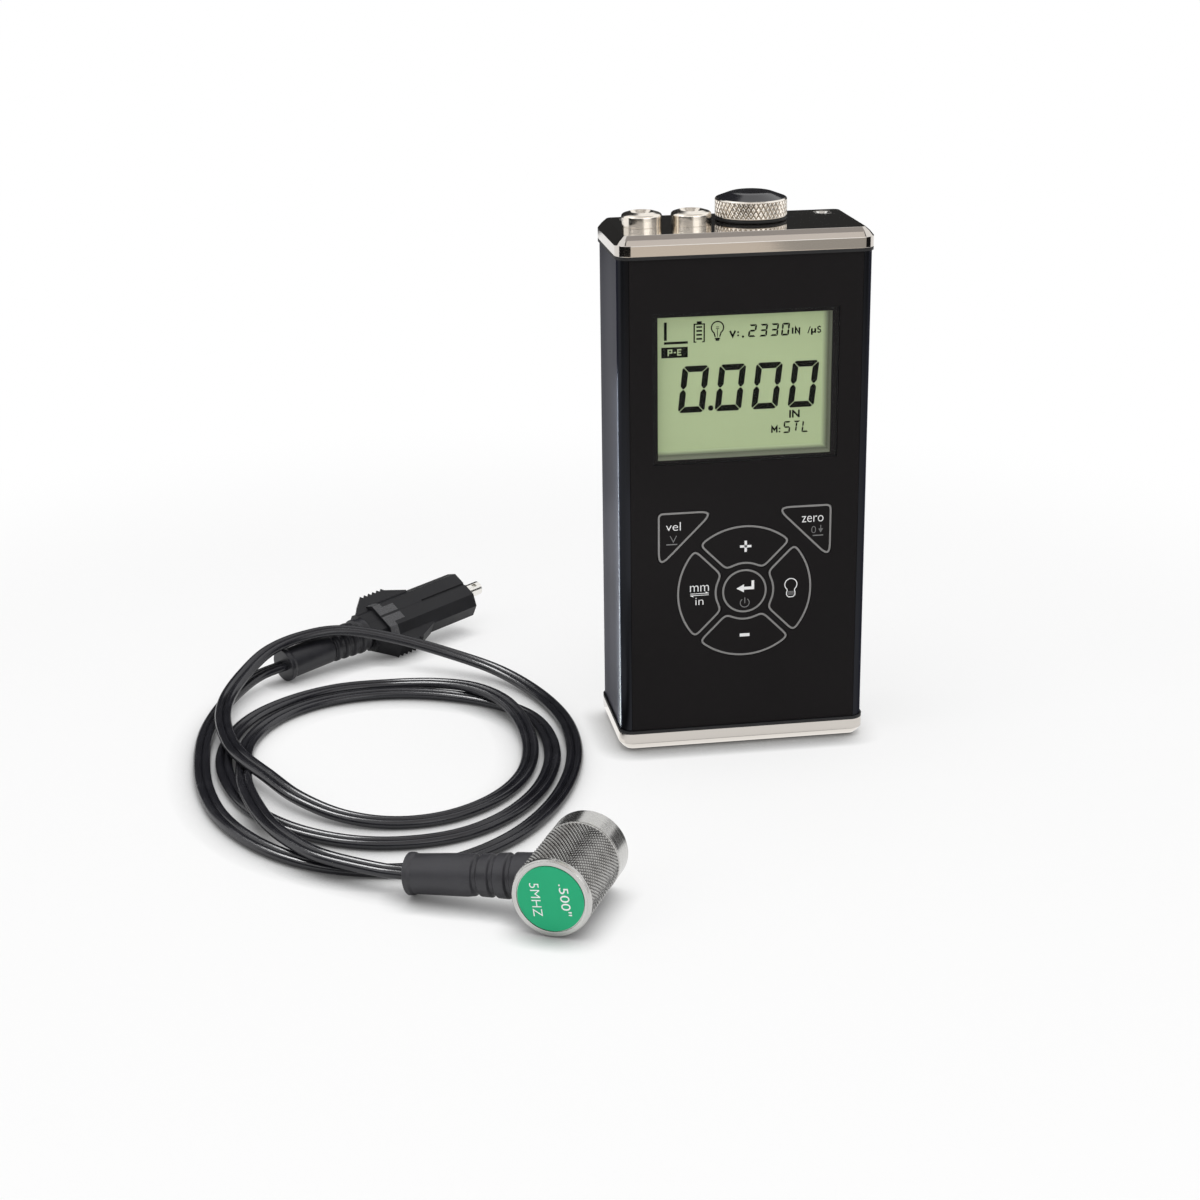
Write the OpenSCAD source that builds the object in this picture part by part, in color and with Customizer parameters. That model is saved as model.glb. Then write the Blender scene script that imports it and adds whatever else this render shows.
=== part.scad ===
// Hand-held ultrasonic thickness gauge with its knurled dual probe, twin lead and plug.
// Millimetres. The gauge stands on its foot at z = 0, centred on the origin, with its face towards -Y.
// The probe and its coiled lead lie on the same surface, to the left of the gauge.

/* [Case] */
// Width over the end caps
case_w = 63.5; // [58:0.5:80]
// Depth over the end caps
case_d = 31.5; // [31:0.5:40]
// Height from the foot to the top face
case_h = 131.3; // [129:0.1:150]
// Plan radius of the end caps' corners
corner_r = 3.6; // [2.6:0.1:6]
// Distance that the end caps stand proud of the extrusion
cap_proud = 0.4; // [0.2:0.1:1]
// Wall of the extrusion
wall = 2; // [1.8:0.1:3]

/* [End caps] */
// Height of a cap's upright band
cap_band = 2.6; // [2:0.1:4]
// Height and width of a cap's bevel
cap_bevel = 2.2; // [1:0.1:2.4]
// Thickness of the cap gaskets
gasket_t = 0.8; // [0.5:0.1:1.5]
// Diameter of the screw ports in the extrusion
port_d = 6.4; // [5.5:0.1:7]
// Distance of the screw ports from the middle, across
port_x = 24.5; // [23:0.1:26]
// Distance of the screw ports behind the middle
port_y = 9.2; // [9:0.1:10]
// Shank diameter of the cap screws
screw_d = 2.5; // [2:0.1:3]
// Head diameter of the cap screws
screw_head_d = 4.7; // [4.2:0.1:5.5]
// Length of the cap screws
screw_l = 14; // [10:1:20]

/* [Face] */
// Width of the front overlay
overlay_w = 57.4; // [54:0.1:57.4]
// Thickness of the front overlay
overlay_t = 0.6; // [0.4:0.1:0.8]
// Width of the display window
window_w = 44; // [36:0.5:46]
// Height of the display window
window_h = 35.4; // [28:0.2:38]
// Distance of the middle of the display window below the top face
window_drop = 37.5; // [36.3:0.1:40]
// Ledge that the window pane rests on
window_ledge = 1; // [0.6:0.1:1.5]

/* [Keys] */
// Height of the middle of the key ring, as a share of the case's height
keys_share = 0.3153; // [0.3:0.001:0.325]
// Radius of the round centre key
enter_r = 5.7; // [4.5:0.1:6]
// Inner radius of the ring keys
petal_inner = 7.2; // [6.8:0.1:8]
// Outer radius of the ring keys
petal_outer = 17.2; // [15:0.1:18]
// Gap between two ring keys
petal_gap = 1.4; // [1:0.1:2.5]
// Leg of the two corner keys
corner_leg = 14.6; // [11:0.1:14.8]
// Distance of the corner keys' square corner from the middle, across
corner_x = 22; // [20:0.1:23]
// Height of the corner keys' square corner, as a share of the case's height
corner_share = 0.4791; // [0.47:0.001:0.488]
// Corner rounding of the ring and corner keys
key_round = 1.2; // [0.5:0.1:1.4]
// Travel of a key
key_travel = 0.4; // [0.2:0.05:0.5]
// Diameter of a key's plunger
stem_d = 2.4; // [1.8:0.1:3]

/* [Sockets] */
// Distance of the left socket from the cap's left edge
socket_edge = 8.85; // [8.3:0.05:9.2]
// Distance between the two sockets
socket_step = 12.2; // [11.2:0.1:12.4]
// Diameter of a socket's collar
socket_d = 9.9; // [9:0.1:10.2]
// Height of a socket's collar above the top face
socket_h = 3.5; // [2.5:0.1:5]
// Diameter of a socket's threaded body
socket_body_d = 7; // [6.2:0.1:7.6]
// Diameter of the plug's pin, which the sockets take
pin_d = 4; // [3.6:0.1:4.6]
// Depth of a socket's bore
socket_depth = 8; // [7:0.5:9]

/* [Battery well] */
// Distance of the battery well from the right socket, across
well_step = 15.7; // [15.4:0.1:16.5]
// Share of the spare depth behind the board that lies in front of the battery tube
well_share = 0.65; // [0.4:0.05:0.9]
// Diameter of the cover's knurled band
cover_d = 17.7; // [17.4:0.1:18.4]
// Height of the cover's knurled band
cover_band = 4.3; // [3:0.1:6]
// Diameter of the cover's thread
thread_d = 15.8; // [15.4:0.1:16]
// Pitch of the cover's thread
thread_pitch = 1.5; // [1:0.25:2]
// Number of turns that the cover unscrews
thread_turns = 4; // [3:1:4]
// Thickness of the cover's sealing ring
seal_t = 0.9; // [0.7:0.05:1]
// Diameter of a battery cell
cell_d = 14.2; // [13.5:0.1:14.5]
// Height of the case that the two cells leave free
cell_spare = 31.3; // [30.5:0.1:33]

/* [Probe] */
// Diameter of the probe's barrel
probe_d = 18; // [16:0.1:22]
// Length of the probe's barrel
probe_l = 27; // [25:0.5:34]
// Diameter of the measuring face's delay lines
element_d = 12.7; // [9:0.1:13]
// Diameter of the coloured end label
label_d = 15; // [11:0.1:15.4]
// Place of the probe's labelled end on the surface
probe_at = [-63, -112]; // [-200:1:200]
// Turn of the probe on the surface, from +Y towards +X
probe_turn = 27; // [15:1:40]
// Length of the lead's boot from the barrel's axis
boot_l = 37; // [32:0.5:45]

/* [Lead and plug] */
// Thickness of one strand of the twin lead
strand_d = 2.2; // [1.8:0.1:2.4]
// Place of the plug's sleeve end on the surface
plug_at = [-115, 52]; // [-200:1:200]
// Turn of the plug on the surface, from +Y towards +X
plug_turn = 56; // [45:1:65]
// Roll of the plug onto one of its grip wings
plug_roll = 30; // [20:1:35]
// Length of the plug's ribbed relief with its sleeve
relief_l = 28; // [24:1:34]
// Length of the plug's two shells
shell_l = 36; // [30:1:42]
// Width of the plug over its grip wings
wing_w = 21; // [18:0.5:24]
// Length of pin that stands out of the plug
pin_l = 7; // [5:0.5:7]

/* [Hidden] */
$fn = 48;
slip = 0.1; // clearance of pieces that slide or drop into place
tiny = 0.02; // clearance between faces that almost touch
over = 1; // overshoot of a cutting shape

// Case levels and widths
cap_t = cap_band + cap_bevel;
body_z = cap_t + gasket_t;
body_h = case_h - 2 * body_z;
body_w = case_w - 2 * cap_proud;
body_d = case_d - 2 * cap_proud;
body_r = corner_r - cap_proud;
cavity_w = body_w - 2 * wall;
cavity_d = body_d - 2 * wall;
cavity_r = 1;
face_y = -body_d / 2;
ledge_y = face_y + overlay_t;
inner_y = face_y + wall;
port_web = 3;
hex_d = 2;
hex_depth = 1.1;
ports = [[-port_x, port_y], [port_x, port_y]];

// Boards and display behind the face
window_z = case_h - window_drop;
pane_w = window_w + 2 * window_ledge;
pane_h = window_h + 2 * window_ledge;
keys_z = case_h * keys_share;
corner_z = case_h * corner_share;
lcd_t = 1.8;
lcd_margin = 2;
backlight_t = case_d * 0.105;
board_t = 1.6;
board_y = inner_y + lcd_t + backlight_t;
board_side_gap = 0.3;
guide_t = 1.2;
guide_depth = 1.6;
board_low = 6;
board_high = 14;
stem_out = 0.6;
dome_d = 5;
dome_t = 0.4;
dome_y = inner_y + stem_out + key_travel + slip;
keypad_y = dome_y + dome_t;
keypad_t = 1.2;
keypad_w = 50;
keypad_low = keys_z - petal_outer - 4;
keypad_high = corner_z + 3.6;
spacer_d = 4;
spacer_x = 21;
pocket = key_travel + slip;
key_gap = 0.15;

// Sockets
socket_left_x = socket_edge - case_w / 2;
socket_right_x = socket_left_x + socket_step;
sockets = [[socket_left_x, 0], [socket_right_x, 0]];
socket_l = 11;
socket_round = 0.9;
socket_mouth = 0.8;
socket_floor = case_h + socket_h - socket_depth;
nut_t = 2.2;
nut_flat = 9.4;
contact_d = 1;
contact_tail = 2;
insulator_t = 2;

// Battery well
collar_wall = 1.4;
collar_d = thread_d + 2 * collar_wall;
collar_h = 7;
tube_d = thread_d + 1.2;
tube_seat = 3;
tube_bore = cell_d + 0.8;
board_back = board_y + board_t;
well_x = socket_right_x + well_step;
well_y = board_back + tube_d / 2 + well_share * (cavity_d / 2 - board_back - tube_d);
cover_z = case_h + seal_t + 2 * tiny;
cover_rise = 1.7;
cover_edge = 0.25;
cover_top_d = cover_d - 5;
spigot_bottom = case_h - thread_pitch * thread_turns + 2 * slip;
contact_plate_d = 10;
contact_plate_t = 1.6;
contact_recess = 1.6;
stud_d = 2;
stud_l = 3;
contact_bottom = spigot_bottom - 0.4;
cell_top = contact_bottom - slip;
cell_l = (case_h - cell_spare) / 2;
cell_nub_d = 5.5;
cell_nub_l = 1;
spring_top = cell_top - 2 * cell_l - 2 * slip;
spring_l = 8;
spring_wire = 0.9;
spring_turns = 4;
base_top = spring_top - spring_l;
base_t = 3;
tube_bottom = base_top - base_t;
tube_top = case_h - cap_t - collar_h + tube_seat;

// Probe
probe_r = probe_d / 2;
face_chamfer = 0.6;
barrel_wall_back = 4;
label_t = 0.3;
label_clear = 0.2;
element_l = 9;
barrier_t = 0.8;
crystal_t = 0.6;
neck_d = 6;
boot_root_d = 10.4;
boot_tip_d = 9;
boot_lip_d = 9.6;
boot_lip_l = 1.2;
boot_at = 11;
boot_seat = probe_r - 2;
boot_smooth = boot_l - 14;
neck_from = 4;
groove_from = probe_r + 2.5;
groove_step = 4;
groove_l = 1.6;
groove_depth = 0.7;
groove_taper = 0.25;
boot_drop = asin((probe_r - boot_lip_d / 2) / boot_l);

// Lead and plug
cord_w = 2 * strand_d;
lip_d = 9.2;
lip_l = 1.2;
lip_taper = 0.8;
sleeve_d = 8.4;
sleeve_l = relief_l - 13;
rib_d = 10;
rib_from = 1;
rib_step = 2.8;
rib_l = 1.9;
rib_depth = 0.8;
rib_taper = 0.2;
shell_h = 9.2;
shell_front_w = 14;
shell_cut = 2.6;
shell_heel = 5;
shell_step = 0.8;
seam_d = 0.8;
wing_h = 5;
wing_end = relief_l + 20;
tooth = 0.9;
tooth_step = 1.5;
wing_drop = wing_w / 2 * sin(plug_roll) + wing_h / 2 * cos(plug_roll);
wing_touch = relief_l + shell_heel + tooth_step / 2;
plug_tilt = atan((wing_drop - lip_d / 2) / wing_touch);
plug_axis_z = lip_d / 2 * cos(plug_tilt);
insert_d = 2.6;
insert_short = 1.5;
pin_root = 9;
pin_shoulder = 0.5;
pin_chamfer = 0.4;
latch = [1.2, 1.4];
latch_from_tip = 3.2;

// Route of the twin lead's middle line, from the plug's sleeve to the probe's boot
plug_way = [sin(plug_turn), cos(plug_turn)];
boot_way = [cos(probe_turn), -sin(probe_turn)];
boot_root = probe_at + boot_at * [sin(probe_turn), cos(probe_turn)];
boot_tip = boot_root - boot_l * cos(boot_drop) * boot_way;
boot_tip_z = boot_lip_d / 2;
lead_in = 8;
route_turns = [
    [-127, 40.5, 2.9], [-132.5, 29, 1.6], [-136, 13.5, 1.2], [-137, -4, 1.2], [-136, -22, 1.2],
    [-132, -40, 1.2], [-124, -56, 1.2], [-113, -68, 1.2], [-100, -74.5, 1.2], [-86, -75.5, 1.2],
    [-72, -69, 1.2], [-60, -57, 1.2], [-50, -39, 1.2], [-44, -18, 1.2], [-43, 4, 1.2],
    [-47, 24, 1.4], [-56, 41, 2.8], [-69, 51, 5.4], [-84, 56.5, 9], [-98, 58, 11.7],
    [-109, 55.5, 11.6], [-118.5, 49.5, 10.2], [-125.5, 40.5, 7.3], [-130, 30, 5.2], [-131.5, 18, 4.4],
    [-130.5, 5, 3.9], [-127.5, -8, 4], [-120.8, -22.5, 3.8], [-114, -35, 3], [-104, -45, 1.8],
    [-92, -50, 1.2], [-79, -49, 1.2], [-67, -41, 1.2], [-58.5, -28, 1.2], [-54.5, -12, 1.4],
    [-54.5, 4, 2.4], [-58, 17, 3.7], [-65, 28, 3.7], [-75, 36.5, 2.4], [-88, 41, 1.2],
    [-101, 40, 1.2], [-113, 34, 1.2], [-123, 24, 1.2], [-129, 11, 1.2], [-131.5, -4, 1.2],
    [-130, -20, 1.2], [-125, -36, 1.2], [-116, -49, 1.2], [-104, -58, 1.2], [-91, -61.5, 1.2],
    [-77, -59.5, 1.2], [-65, -51, 1.2], [-55.5, -37, 1.2], [-50, -20, 1.2], [-49, -3, 1.2],
    [-52, 11, 1.2], [-60, 22, 1.2], [-72, 30, 1.2], [-86, 34, 1.2], [-100, 33, 1.2],
    [-112, 27, 1.2], [-120.5, 17, 1.2], [-125.5, 4, 1.2], [-126.5, -11, 1.5], [-126.4, -25, 3.4],
    [-124.5, -38, 3.9], [-121, -51, 3.8], [-115.5, -63, 4], [-109, -72.5, 4.4],
];
route = concat(
    [concat(plug_at, [plug_axis_z]),
        concat(plug_at - lead_in * plug_way, [plug_axis_z - lead_in * sin(plug_tilt)])],
    route_turns,
    [concat(boot_tip - lead_in * boot_way, [boot_tip_z]), concat(boot_tip, [boot_tip_z])]
);

// Outlines and solids that several pieces share

module rounded(w, d, r) {
    square([w - 2 * r, d], center = true);
    square([w, d - 2 * r], center = true);
    for (x = [-1, 1], y = [-1, 1]) translate([x * (w / 2 - r), y * (d / 2 - r)]) circle(r);
}

// Slab whose sides lean in by its bevel from bottom to top
module bevelled(w, d, r, bevel) {
    side = function(s) [[-s / 2, 0], [s / 2, 0], [s / 2 - bevel, bevel], [-s / 2 + bevel, bevel]];
    for (x = [-1, 1], y = [-1, 1])
        translate([x * (w / 2 - r), y * (d / 2 - r), 0]) cylinder(h = bevel, r1 = r, r2 = r - bevel);
    translate([0, d / 2 - r, 0]) rotate([90, 0, 0]) linear_extrude(d - 2 * r) polygon(side(w));
    translate([r - w / 2, 0, 0]) rotate([90, 0, 90]) linear_extrude(w - 2 * r) polygon(side(d));
}

// Carries an outline drawn in x and z from one depth to another
module through(y0, y1) {
    translate([0, y1, 0]) rotate([90, 0, 0]) linear_extrude(y1 - y0) children();
}

module at_ports() {
    for (p = ports) translate([p.x, p.y, 0]) children();
}

module at_sockets() {
    for (s = sockets) translate([s.x, s.y, 0]) children();
}

module at_well() {
    translate([well_x, well_y, 0]) children();
}

module on_probe() {
    translate([probe_at.x, probe_at.y, probe_r]) rotate([0, 0, -probe_turn]) children();
}

// The plug rests on its sleeve's lip and on one grip wing
module on_plug() {
    translate([plug_at.x, plug_at.y, plug_axis_z]) rotate([plug_tilt, 0, -plug_turn])
        rotate([0, plug_roll, 0]) children();
}

// Tube swept along points, its section a flattened octagon that stays level
function unit(v) = v / norm(v);
function along(p, i) = unit(p[min(i + 1, len(p) - 1)] - p[max(i - 1, 0)]);
function level(v) = unit([v.y, -v.x, 0]);
function ring(p, i, w, h, n) = let (t = along(p, i), s = level(t), u = cross(s, t))
    [for (k = [0:n - 1]) p[i] + s * w / 2 * cos(360 * (k + 0.5) / n) + u * h / 2 * sin(360 * (k + 0.5) / n)];

module swept(p, w, h, n) {
    last = len(p) - 1;
    polyhedron(
        points = [for (i = [0:last], q = ring(p, i, w, h, n)) q],
        faces = concat(
            [[for (k = [0:n - 1]) k]],
            [for (i = [0:last - 1], k = [0:n - 1])
                [i * n + k, (i + 1) * n + k, (i + 1) * n + (k + 1) % n, i * n + (k + 1) % n]],
            [[for (k = [0:n - 1]) last * n + n - 1 - k]]
        )
    );
}

// Key outlines, drawn in x and z with the key ring's middle at the origin

corner_keys = [for (side = [-1, 1]) [side * corner_x, corner_z - keys_z]];
stem_spots = concat([[0, 0]],
    [for (a = [90, 0, -90, 180]) (petal_inner + petal_outer) / 2 * [cos(a), sin(a)]],
    [for (c = corner_keys) c + corner_leg * 0.3 * [-sign(c.x), -1]]);

module petal() {
    apex = petal_gap * sqrt(2) / 2;
    intersection() {
        difference() {
            circle(petal_outer);
            circle(petal_inner);
        }
        polygon([[0, apex], [petal_outer, apex + petal_outer], [-petal_outer, apex + petal_outer]]);
    }
}

module corner_key(c) {
    in = -sign(c.x) * corner_leg;
    polygon([c, c + [in, 0], c - [0, corner_leg]]);
}

module key_outline(i) {
    if (i == 0) circle(enter_r);
    else offset(r = key_round, $fn = 32) offset(delta = -key_round, $fn = 96)
        if (i <= 4) rotate(90 - 90 * i) petal();
        else corner_key(corner_keys[i - 5]);
}

// A key's place in the overlay, opened out by the gap round it
module key_hole(i) {
    if (i == 0) circle(enter_r + key_gap);
    else offset(delta = key_gap) key_outline(i);
}

module key(i) {
    translate([0, 0, keys_z]) {
        through(face_y, ledge_y) key_outline(i);
        through(ledge_y, inner_y + stem_out) translate(stem_spots[i]) circle(d = stem_d);
    }
}

// Case

module case_profile() {
    difference() {
        union() {
            difference() {
                rounded(body_w, body_d, body_r);
                rounded(cavity_w, cavity_d, cavity_r);
            }
            for (p = ports) {
                translate(p) circle(d = port_d);
                translate([p.x > 0 ? p.x : -cavity_w / 2 - wall / 2, p.y - port_web / 2])
                    square([cavity_w / 2 + wall / 2 - abs(p.x), port_web]);
            }
            for (side = [-1, 1], y = [board_y - slip - guide_t, board_y + board_t + slip])
                translate([side * (cavity_w / 2 - guide_depth / 2 + wall / 4), y + guide_t / 2])
                    square([guide_depth + wall / 2, guide_t], center = true);
        }
        translate([0, face_y]) square([overlay_w + 2 * slip, 2 * overlay_t], center = true);
        for (p = ports) translate(p) circle(d = screw_d + slip);
    }
}

module case_extrusion() {
    color("#2b2e36") difference() {
        translate([0, 0, body_z]) linear_extrude(body_h) case_profile();
        through(face_y - over, inner_y + over) translate([0, window_z])
            square([window_w, window_h], center = true);
        for (i = [0:6]) translate([0, 0, keys_z]) {
            through(ledge_y - slip, ledge_y + pocket) key_hole(i);
            through(face_y, inner_y + over) translate(stem_spots[i]) circle(d = stem_d + 2 * key_gap);
        }
    }
}

module front_overlay() {
    color("#232021") difference() {
        through(face_y, ledge_y) translate([0, case_h / 2])
            square([overlay_w, body_h - 2 * slip], center = true);
        through(face_y - over, ledge_y + over) translate([0, window_z])
            square([pane_w + 2 * slip, pane_h + 2 * slip], center = true);
        for (i = [0:6]) translate([0, 0, keys_z]) through(face_y - over, ledge_y + over) key_hole(i);
    }
}

module lcd_window() {
    color("#cfd6c4") through(face_y, ledge_y) translate([0, window_z])
        square([pane_w, pane_h], center = true);
}

module lcd_panel() {
    color("#acba94") through(inner_y, inner_y + lcd_t) translate([0, window_z])
        square([window_w + 2 * lcd_margin, window_h + 2 * lcd_margin], center = true);
}

module backlight() {
    color("#e8ecdf") through(inner_y + lcd_t, board_y) translate([0, window_z])
        square([window_w + 2 * lcd_margin, window_h + 2 * lcd_margin], center = true);
}

module key_cap(i) {
    color("#232021") key(i);
}

module key_domes() {
    color("#c9c9c4") for (s = stem_spots) translate([0, 0, keys_z])
        through(dome_y, keypad_y) translate(s) circle(d = dome_d);
}

module keypad_board() {
    color("#2f6b45") through(keypad_y, keypad_y + keypad_t) translate([-keypad_w / 2, keypad_low])
        square([keypad_w, keypad_high - keypad_low]);
}

module keypad_spacers() {
    color("#d8d8d2") for (side = [-1, 1], z = [keypad_low + spacer_d, keypad_high - spacer_d])
        through(keypad_y + keypad_t, board_y) translate([side * spacer_x, z]) circle(d = spacer_d);
}

module main_board() {
    color("#2f6b45") through(board_y, board_y + board_t)
        translate([board_side_gap - cavity_w / 2, body_z + board_low])
            square([cavity_w - 2 * board_side_gap, body_h - board_low - board_high]);
}

// End caps

// Countersunk screw with its flush head at z = 0 and its shank below
module cap_screw() {
    difference() {
        union() {
            translate([0, 0, -screw_head_d / 2]) cylinder(h = screw_head_d / 2, d1 = 0, d2 = screw_head_d);
            translate([0, 0, -screw_l]) cylinder(h = screw_l - slip, d = screw_d);
        }
        translate([0, 0, -hex_depth]) cylinder(h = 2 * hex_depth, d = hex_d, $fn = 6);
    }
}

// Upright band with the bevel above it, and a core that joins the two
module cap_slab() {
    core_w = case_w - 2 * cap_bevel;
    core_d = case_d - 2 * cap_bevel;
    linear_extrude(cap_band) rounded(case_w, case_d, corner_r);
    translate([0, 0, cap_band]) bevelled(case_w, case_d, corner_r, cap_bevel);
    linear_extrude(cap_t) rounded(core_w, core_d, corner_r - cap_bevel);
}

module top_cap() {
    color("#c9c4b8") difference() {
        union() {
            translate([0, 0, case_h - cap_t]) cap_slab();
            at_well() translate([0, 0, case_h - cap_t - collar_h])
                cylinder(h = collar_h + cap_band / 2, d = collar_d);
        }
        at_well() {
            cylinder(h = 2 * case_h, d = thread_d + slip);
            translate([0, 0, case_h - cap_t - collar_h - over])
                cylinder(h = tube_seat + over, d = tube_d + slip);
        }
        at_sockets() cylinder(h = 2 * case_h, d = socket_body_d + slip);
        at_ports() translate([0, 0, case_h]) {
            cylinder(h = 4 * cap_t, d = screw_d + 4 * slip, center = true);
            translate([0, 0, -screw_head_d / 2 - slip])
                cylinder(h = screw_head_d / 2 + slip, d1 = 0, d2 = screw_head_d + 2 * slip);
        }
    }
}

module bottom_cap() {
    color("#c9c4b8") difference() {
        translate([0, 0, cap_t]) mirror([0, 0, 1]) cap_slab();
        at_ports() {
            cylinder(h = 4 * cap_t, d = screw_d + 4 * slip, center = true);
            cylinder(h = screw_head_d / 2 + slip, d1 = screw_head_d + 2 * slip, d2 = 0);
        }
    }
}

module gasket() {
    color("#1b1b1d") linear_extrude(gasket_t) difference() {
        rounded(case_w, case_d, corner_r);
        difference() {
            rounded(cavity_w, cavity_d, cavity_r);
            for (p = ports) translate(p) circle(d = port_d);
            for (p = ports) translate([p.x > 0 ? p.x : -cavity_w / 2, p.y - port_web / 2])
                square([cavity_w / 2 - abs(p.x), port_web]);
        }
        for (p = ports) translate(p) circle(d = screw_d + 4 * slip);
    }
}

module top_gasket() {
    translate([0, 0, case_h - body_z]) gasket();
}

module bottom_gasket() {
    translate([0, 0, cap_t]) gasket();
}

module top_cap_screws() {
    color("#d6d3cb") at_ports() translate([0, 0, case_h]) cap_screw();
}

module bottom_cap_screws() {
    color("#d6d3cb") at_ports() mirror([0, 0, 1]) cap_screw();
}

// Sockets

module socket() {
    r = socket_d / 2;
    bore = pin_d + 2 * slip;
    color("#cfcabd") translate([0, 0, case_h]) difference() {
        union() {
            rotate_extrude() polygon([
                [0, 0], [r, 0], [r, socket_h - socket_round],
                [r - socket_round / 3, socket_h - socket_round / 3],
                [r - socket_round, socket_h], [0, socket_h],
            ]);
            translate([0, 0, -socket_l]) cylinder(h = socket_l + socket_h / 2, d = socket_body_d);
        }
        translate([0, 0, socket_h - socket_depth]) cylinder(h = socket_depth + over, d = bore);
        translate([0, 0, socket_h - socket_mouth])
            cylinder(h = socket_mouth + tiny, d1 = bore, d2 = bore + 2 * socket_mouth);
        translate([0, 0, -socket_l - over]) cylinder(h = 2 * socket_l, d = insert_d);
    }
}

module socket_left() {
    translate([sockets[0].x, sockets[0].y, 0]) socket();
}

module socket_right() {
    translate([sockets[1].x, sockets[1].y, 0]) socket();
}

module socket_nuts() {
    color("#cfcabd") at_sockets() translate([0, 0, case_h - cap_t - nut_t]) difference() {
        cylinder(h = nut_t, d = nut_flat / cos(30), $fn = 6);
        translate([0, 0, -over]) cylinder(h = nut_t + 2 * over, d = socket_body_d + slip);
    }
}

module socket_insulators() {
    color("#f1efe8") at_sockets() translate([0, 0, socket_floor - insulator_t]) difference() {
        cylinder(h = insulator_t, d = insert_d - tiny);
        translate([0, 0, -over]) cylinder(h = insulator_t + 2 * over, d = contact_d + tiny);
    }
}

module socket_contacts() {
    color("#d9b45a") at_sockets() translate([0, 0, case_h - socket_l - contact_tail])
        cylinder(h = socket_floor + contact_tail + socket_l - case_h, d = contact_d);
}

// Battery well

module battery_cover() {
    r = cover_d / 2;
    color("#bdb8ac") at_well() difference() {
        union() {
            translate([0, 0, cover_z]) rotate_extrude() polygon([
                [0, 0], [r, 0], [r, cover_band], [r - cover_edge, cover_band + cover_edge],
                [cover_top_d / 2, cover_band + cover_rise * 0.75],
                [cover_top_d / 4, cover_band + cover_rise * 0.95], [0, cover_band + cover_rise],
            ]);
            translate([0, 0, spigot_bottom]) cylinder(h = cover_z - spigot_bottom + tiny, d = thread_d);
        }
        translate([0, 0, spigot_bottom - over])
            cylinder(h = contact_recess + over, d = contact_plate_d + 4 * slip);
        translate([0, 0, spigot_bottom])
            cylinder(h = contact_recess + stud_l + 2 * slip, d = stud_d + 2 * slip);
    }
}

module cover_seal() {
    color("#18181a") at_well() translate([0, 0, case_h + seal_t / 2 + tiny])
        rotate_extrude() translate([cover_d / 2 - seal_t / 2, 0]) circle(d = seal_t, $fn = 24);
}

module cover_contact() {
    color("#d9b45a") at_well() translate([0, 0, contact_bottom]) {
        cylinder(h = contact_plate_t, d = contact_plate_d);
        cylinder(h = contact_plate_t + stud_l, d = stud_d);
    }
}

module battery_tube() {
    color("#8d9096") at_well() translate([0, 0, tube_bottom]) difference() {
        cylinder(h = tube_top - tube_bottom, d = tube_d);
        translate([0, 0, -over]) cylinder(h = tube_top - tube_bottom + 2 * over, d = tube_bore);
    }
}

module battery_base() {
    color("#e4e0d4") at_well() translate([0, 0, tube_bottom]) cylinder(h = base_t, d = tube_bore - tiny);
}

spring_points = [for (a = [0:20:360 * spring_turns])
    let (r = tube_bore / 2 - spring_wire - 0.5 - 2.5 * a / (360 * spring_turns))
    [r * cos(a), r * sin(a), spring_wire / 2 + (spring_l - spring_wire) * a / (360 * spring_turns)]];

module battery_spring() {
    color("#cfcabd") at_well() translate([0, 0, base_top]) swept(spring_points, spring_wire, spring_wire, 6);
}

module cell(top) {
    at_well() translate([0, 0, top - cell_l]) {
        cylinder(h = cell_l - cell_nub_l, d = cell_d);
        cylinder(h = cell_l, d = cell_nub_d);
    }
}

module battery_upper() {
    color("#5d6a75") cell(cell_top);
}

module battery_lower() {
    color("#5d6a75") cell(cell_top - cell_l - slip);
}

// Probe, with its labelled end at the origin and its measuring face towards +Y

module turned(points) {
    rotate([-90, 0, 0]) rotate_extrude($fn = 64) polygon(points);
}

module probe_barrel() {
    c = face_chamfer;
    color("#b9b7b0") on_probe() difference() {
        turned([
            [0, 0], [probe_r - c, 0], [probe_r, c],
            [probe_r, probe_l - c], [probe_r - c, probe_l], [0, probe_l],
        ]);
        translate([0, barrel_wall_back, 0]) rotate([-90, 0, 0]) cylinder(h = probe_l, d = element_d + slip);
        rotate([-90, 0, 0]) translate([0, 0, -over])
            cylinder(h = label_t + over, d = label_d + 2 * label_clear);
        translate([0, boot_at, 0]) rotate([0, -90 - boot_drop, 0]) cylinder(h = probe_d, d = neck_d + slip);
    }
}

module probe_label() {
    color("#2eb17f") on_probe() rotate([-90, 0, 0]) cylinder(h = label_t, d = label_d);
}

// Half of a round bar along the probe's axis, clear of the middle
module half_bar(side, y0, y1) {
    intersection() {
        translate([0, y0, 0]) rotate([-90, 0, 0]) cylinder(h = y1 - y0, d = element_d);
        translate([-element_d, y0 - over, side > 0 ? barrier_t / 2 : -element_d - barrier_t / 2])
            cube([2 * element_d, y1 - y0 + 2 * over, element_d]);
    }
}

element_y = probe_l - element_l;
backing_y = element_y - crystal_t;

module delay_lines() {
    color("#d8c9a0") on_probe() for (side = [-1, 1]) half_bar(side, element_y, probe_l);
}

module crystals() {
    color("#b9a98a") on_probe() for (side = [-1, 1]) half_bar(side, backing_y, element_y);
}

module acoustic_barrier() {
    color("#7a4f32") on_probe() intersection() {
        translate([0, backing_y, 0]) rotate([-90, 0, 0]) cylinder(h = probe_l - backing_y, d = element_d);
        translate([-element_d, backing_y, -barrier_t / 2]) cube([2 * element_d, probe_l, barrier_t]);
    }
}

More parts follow.
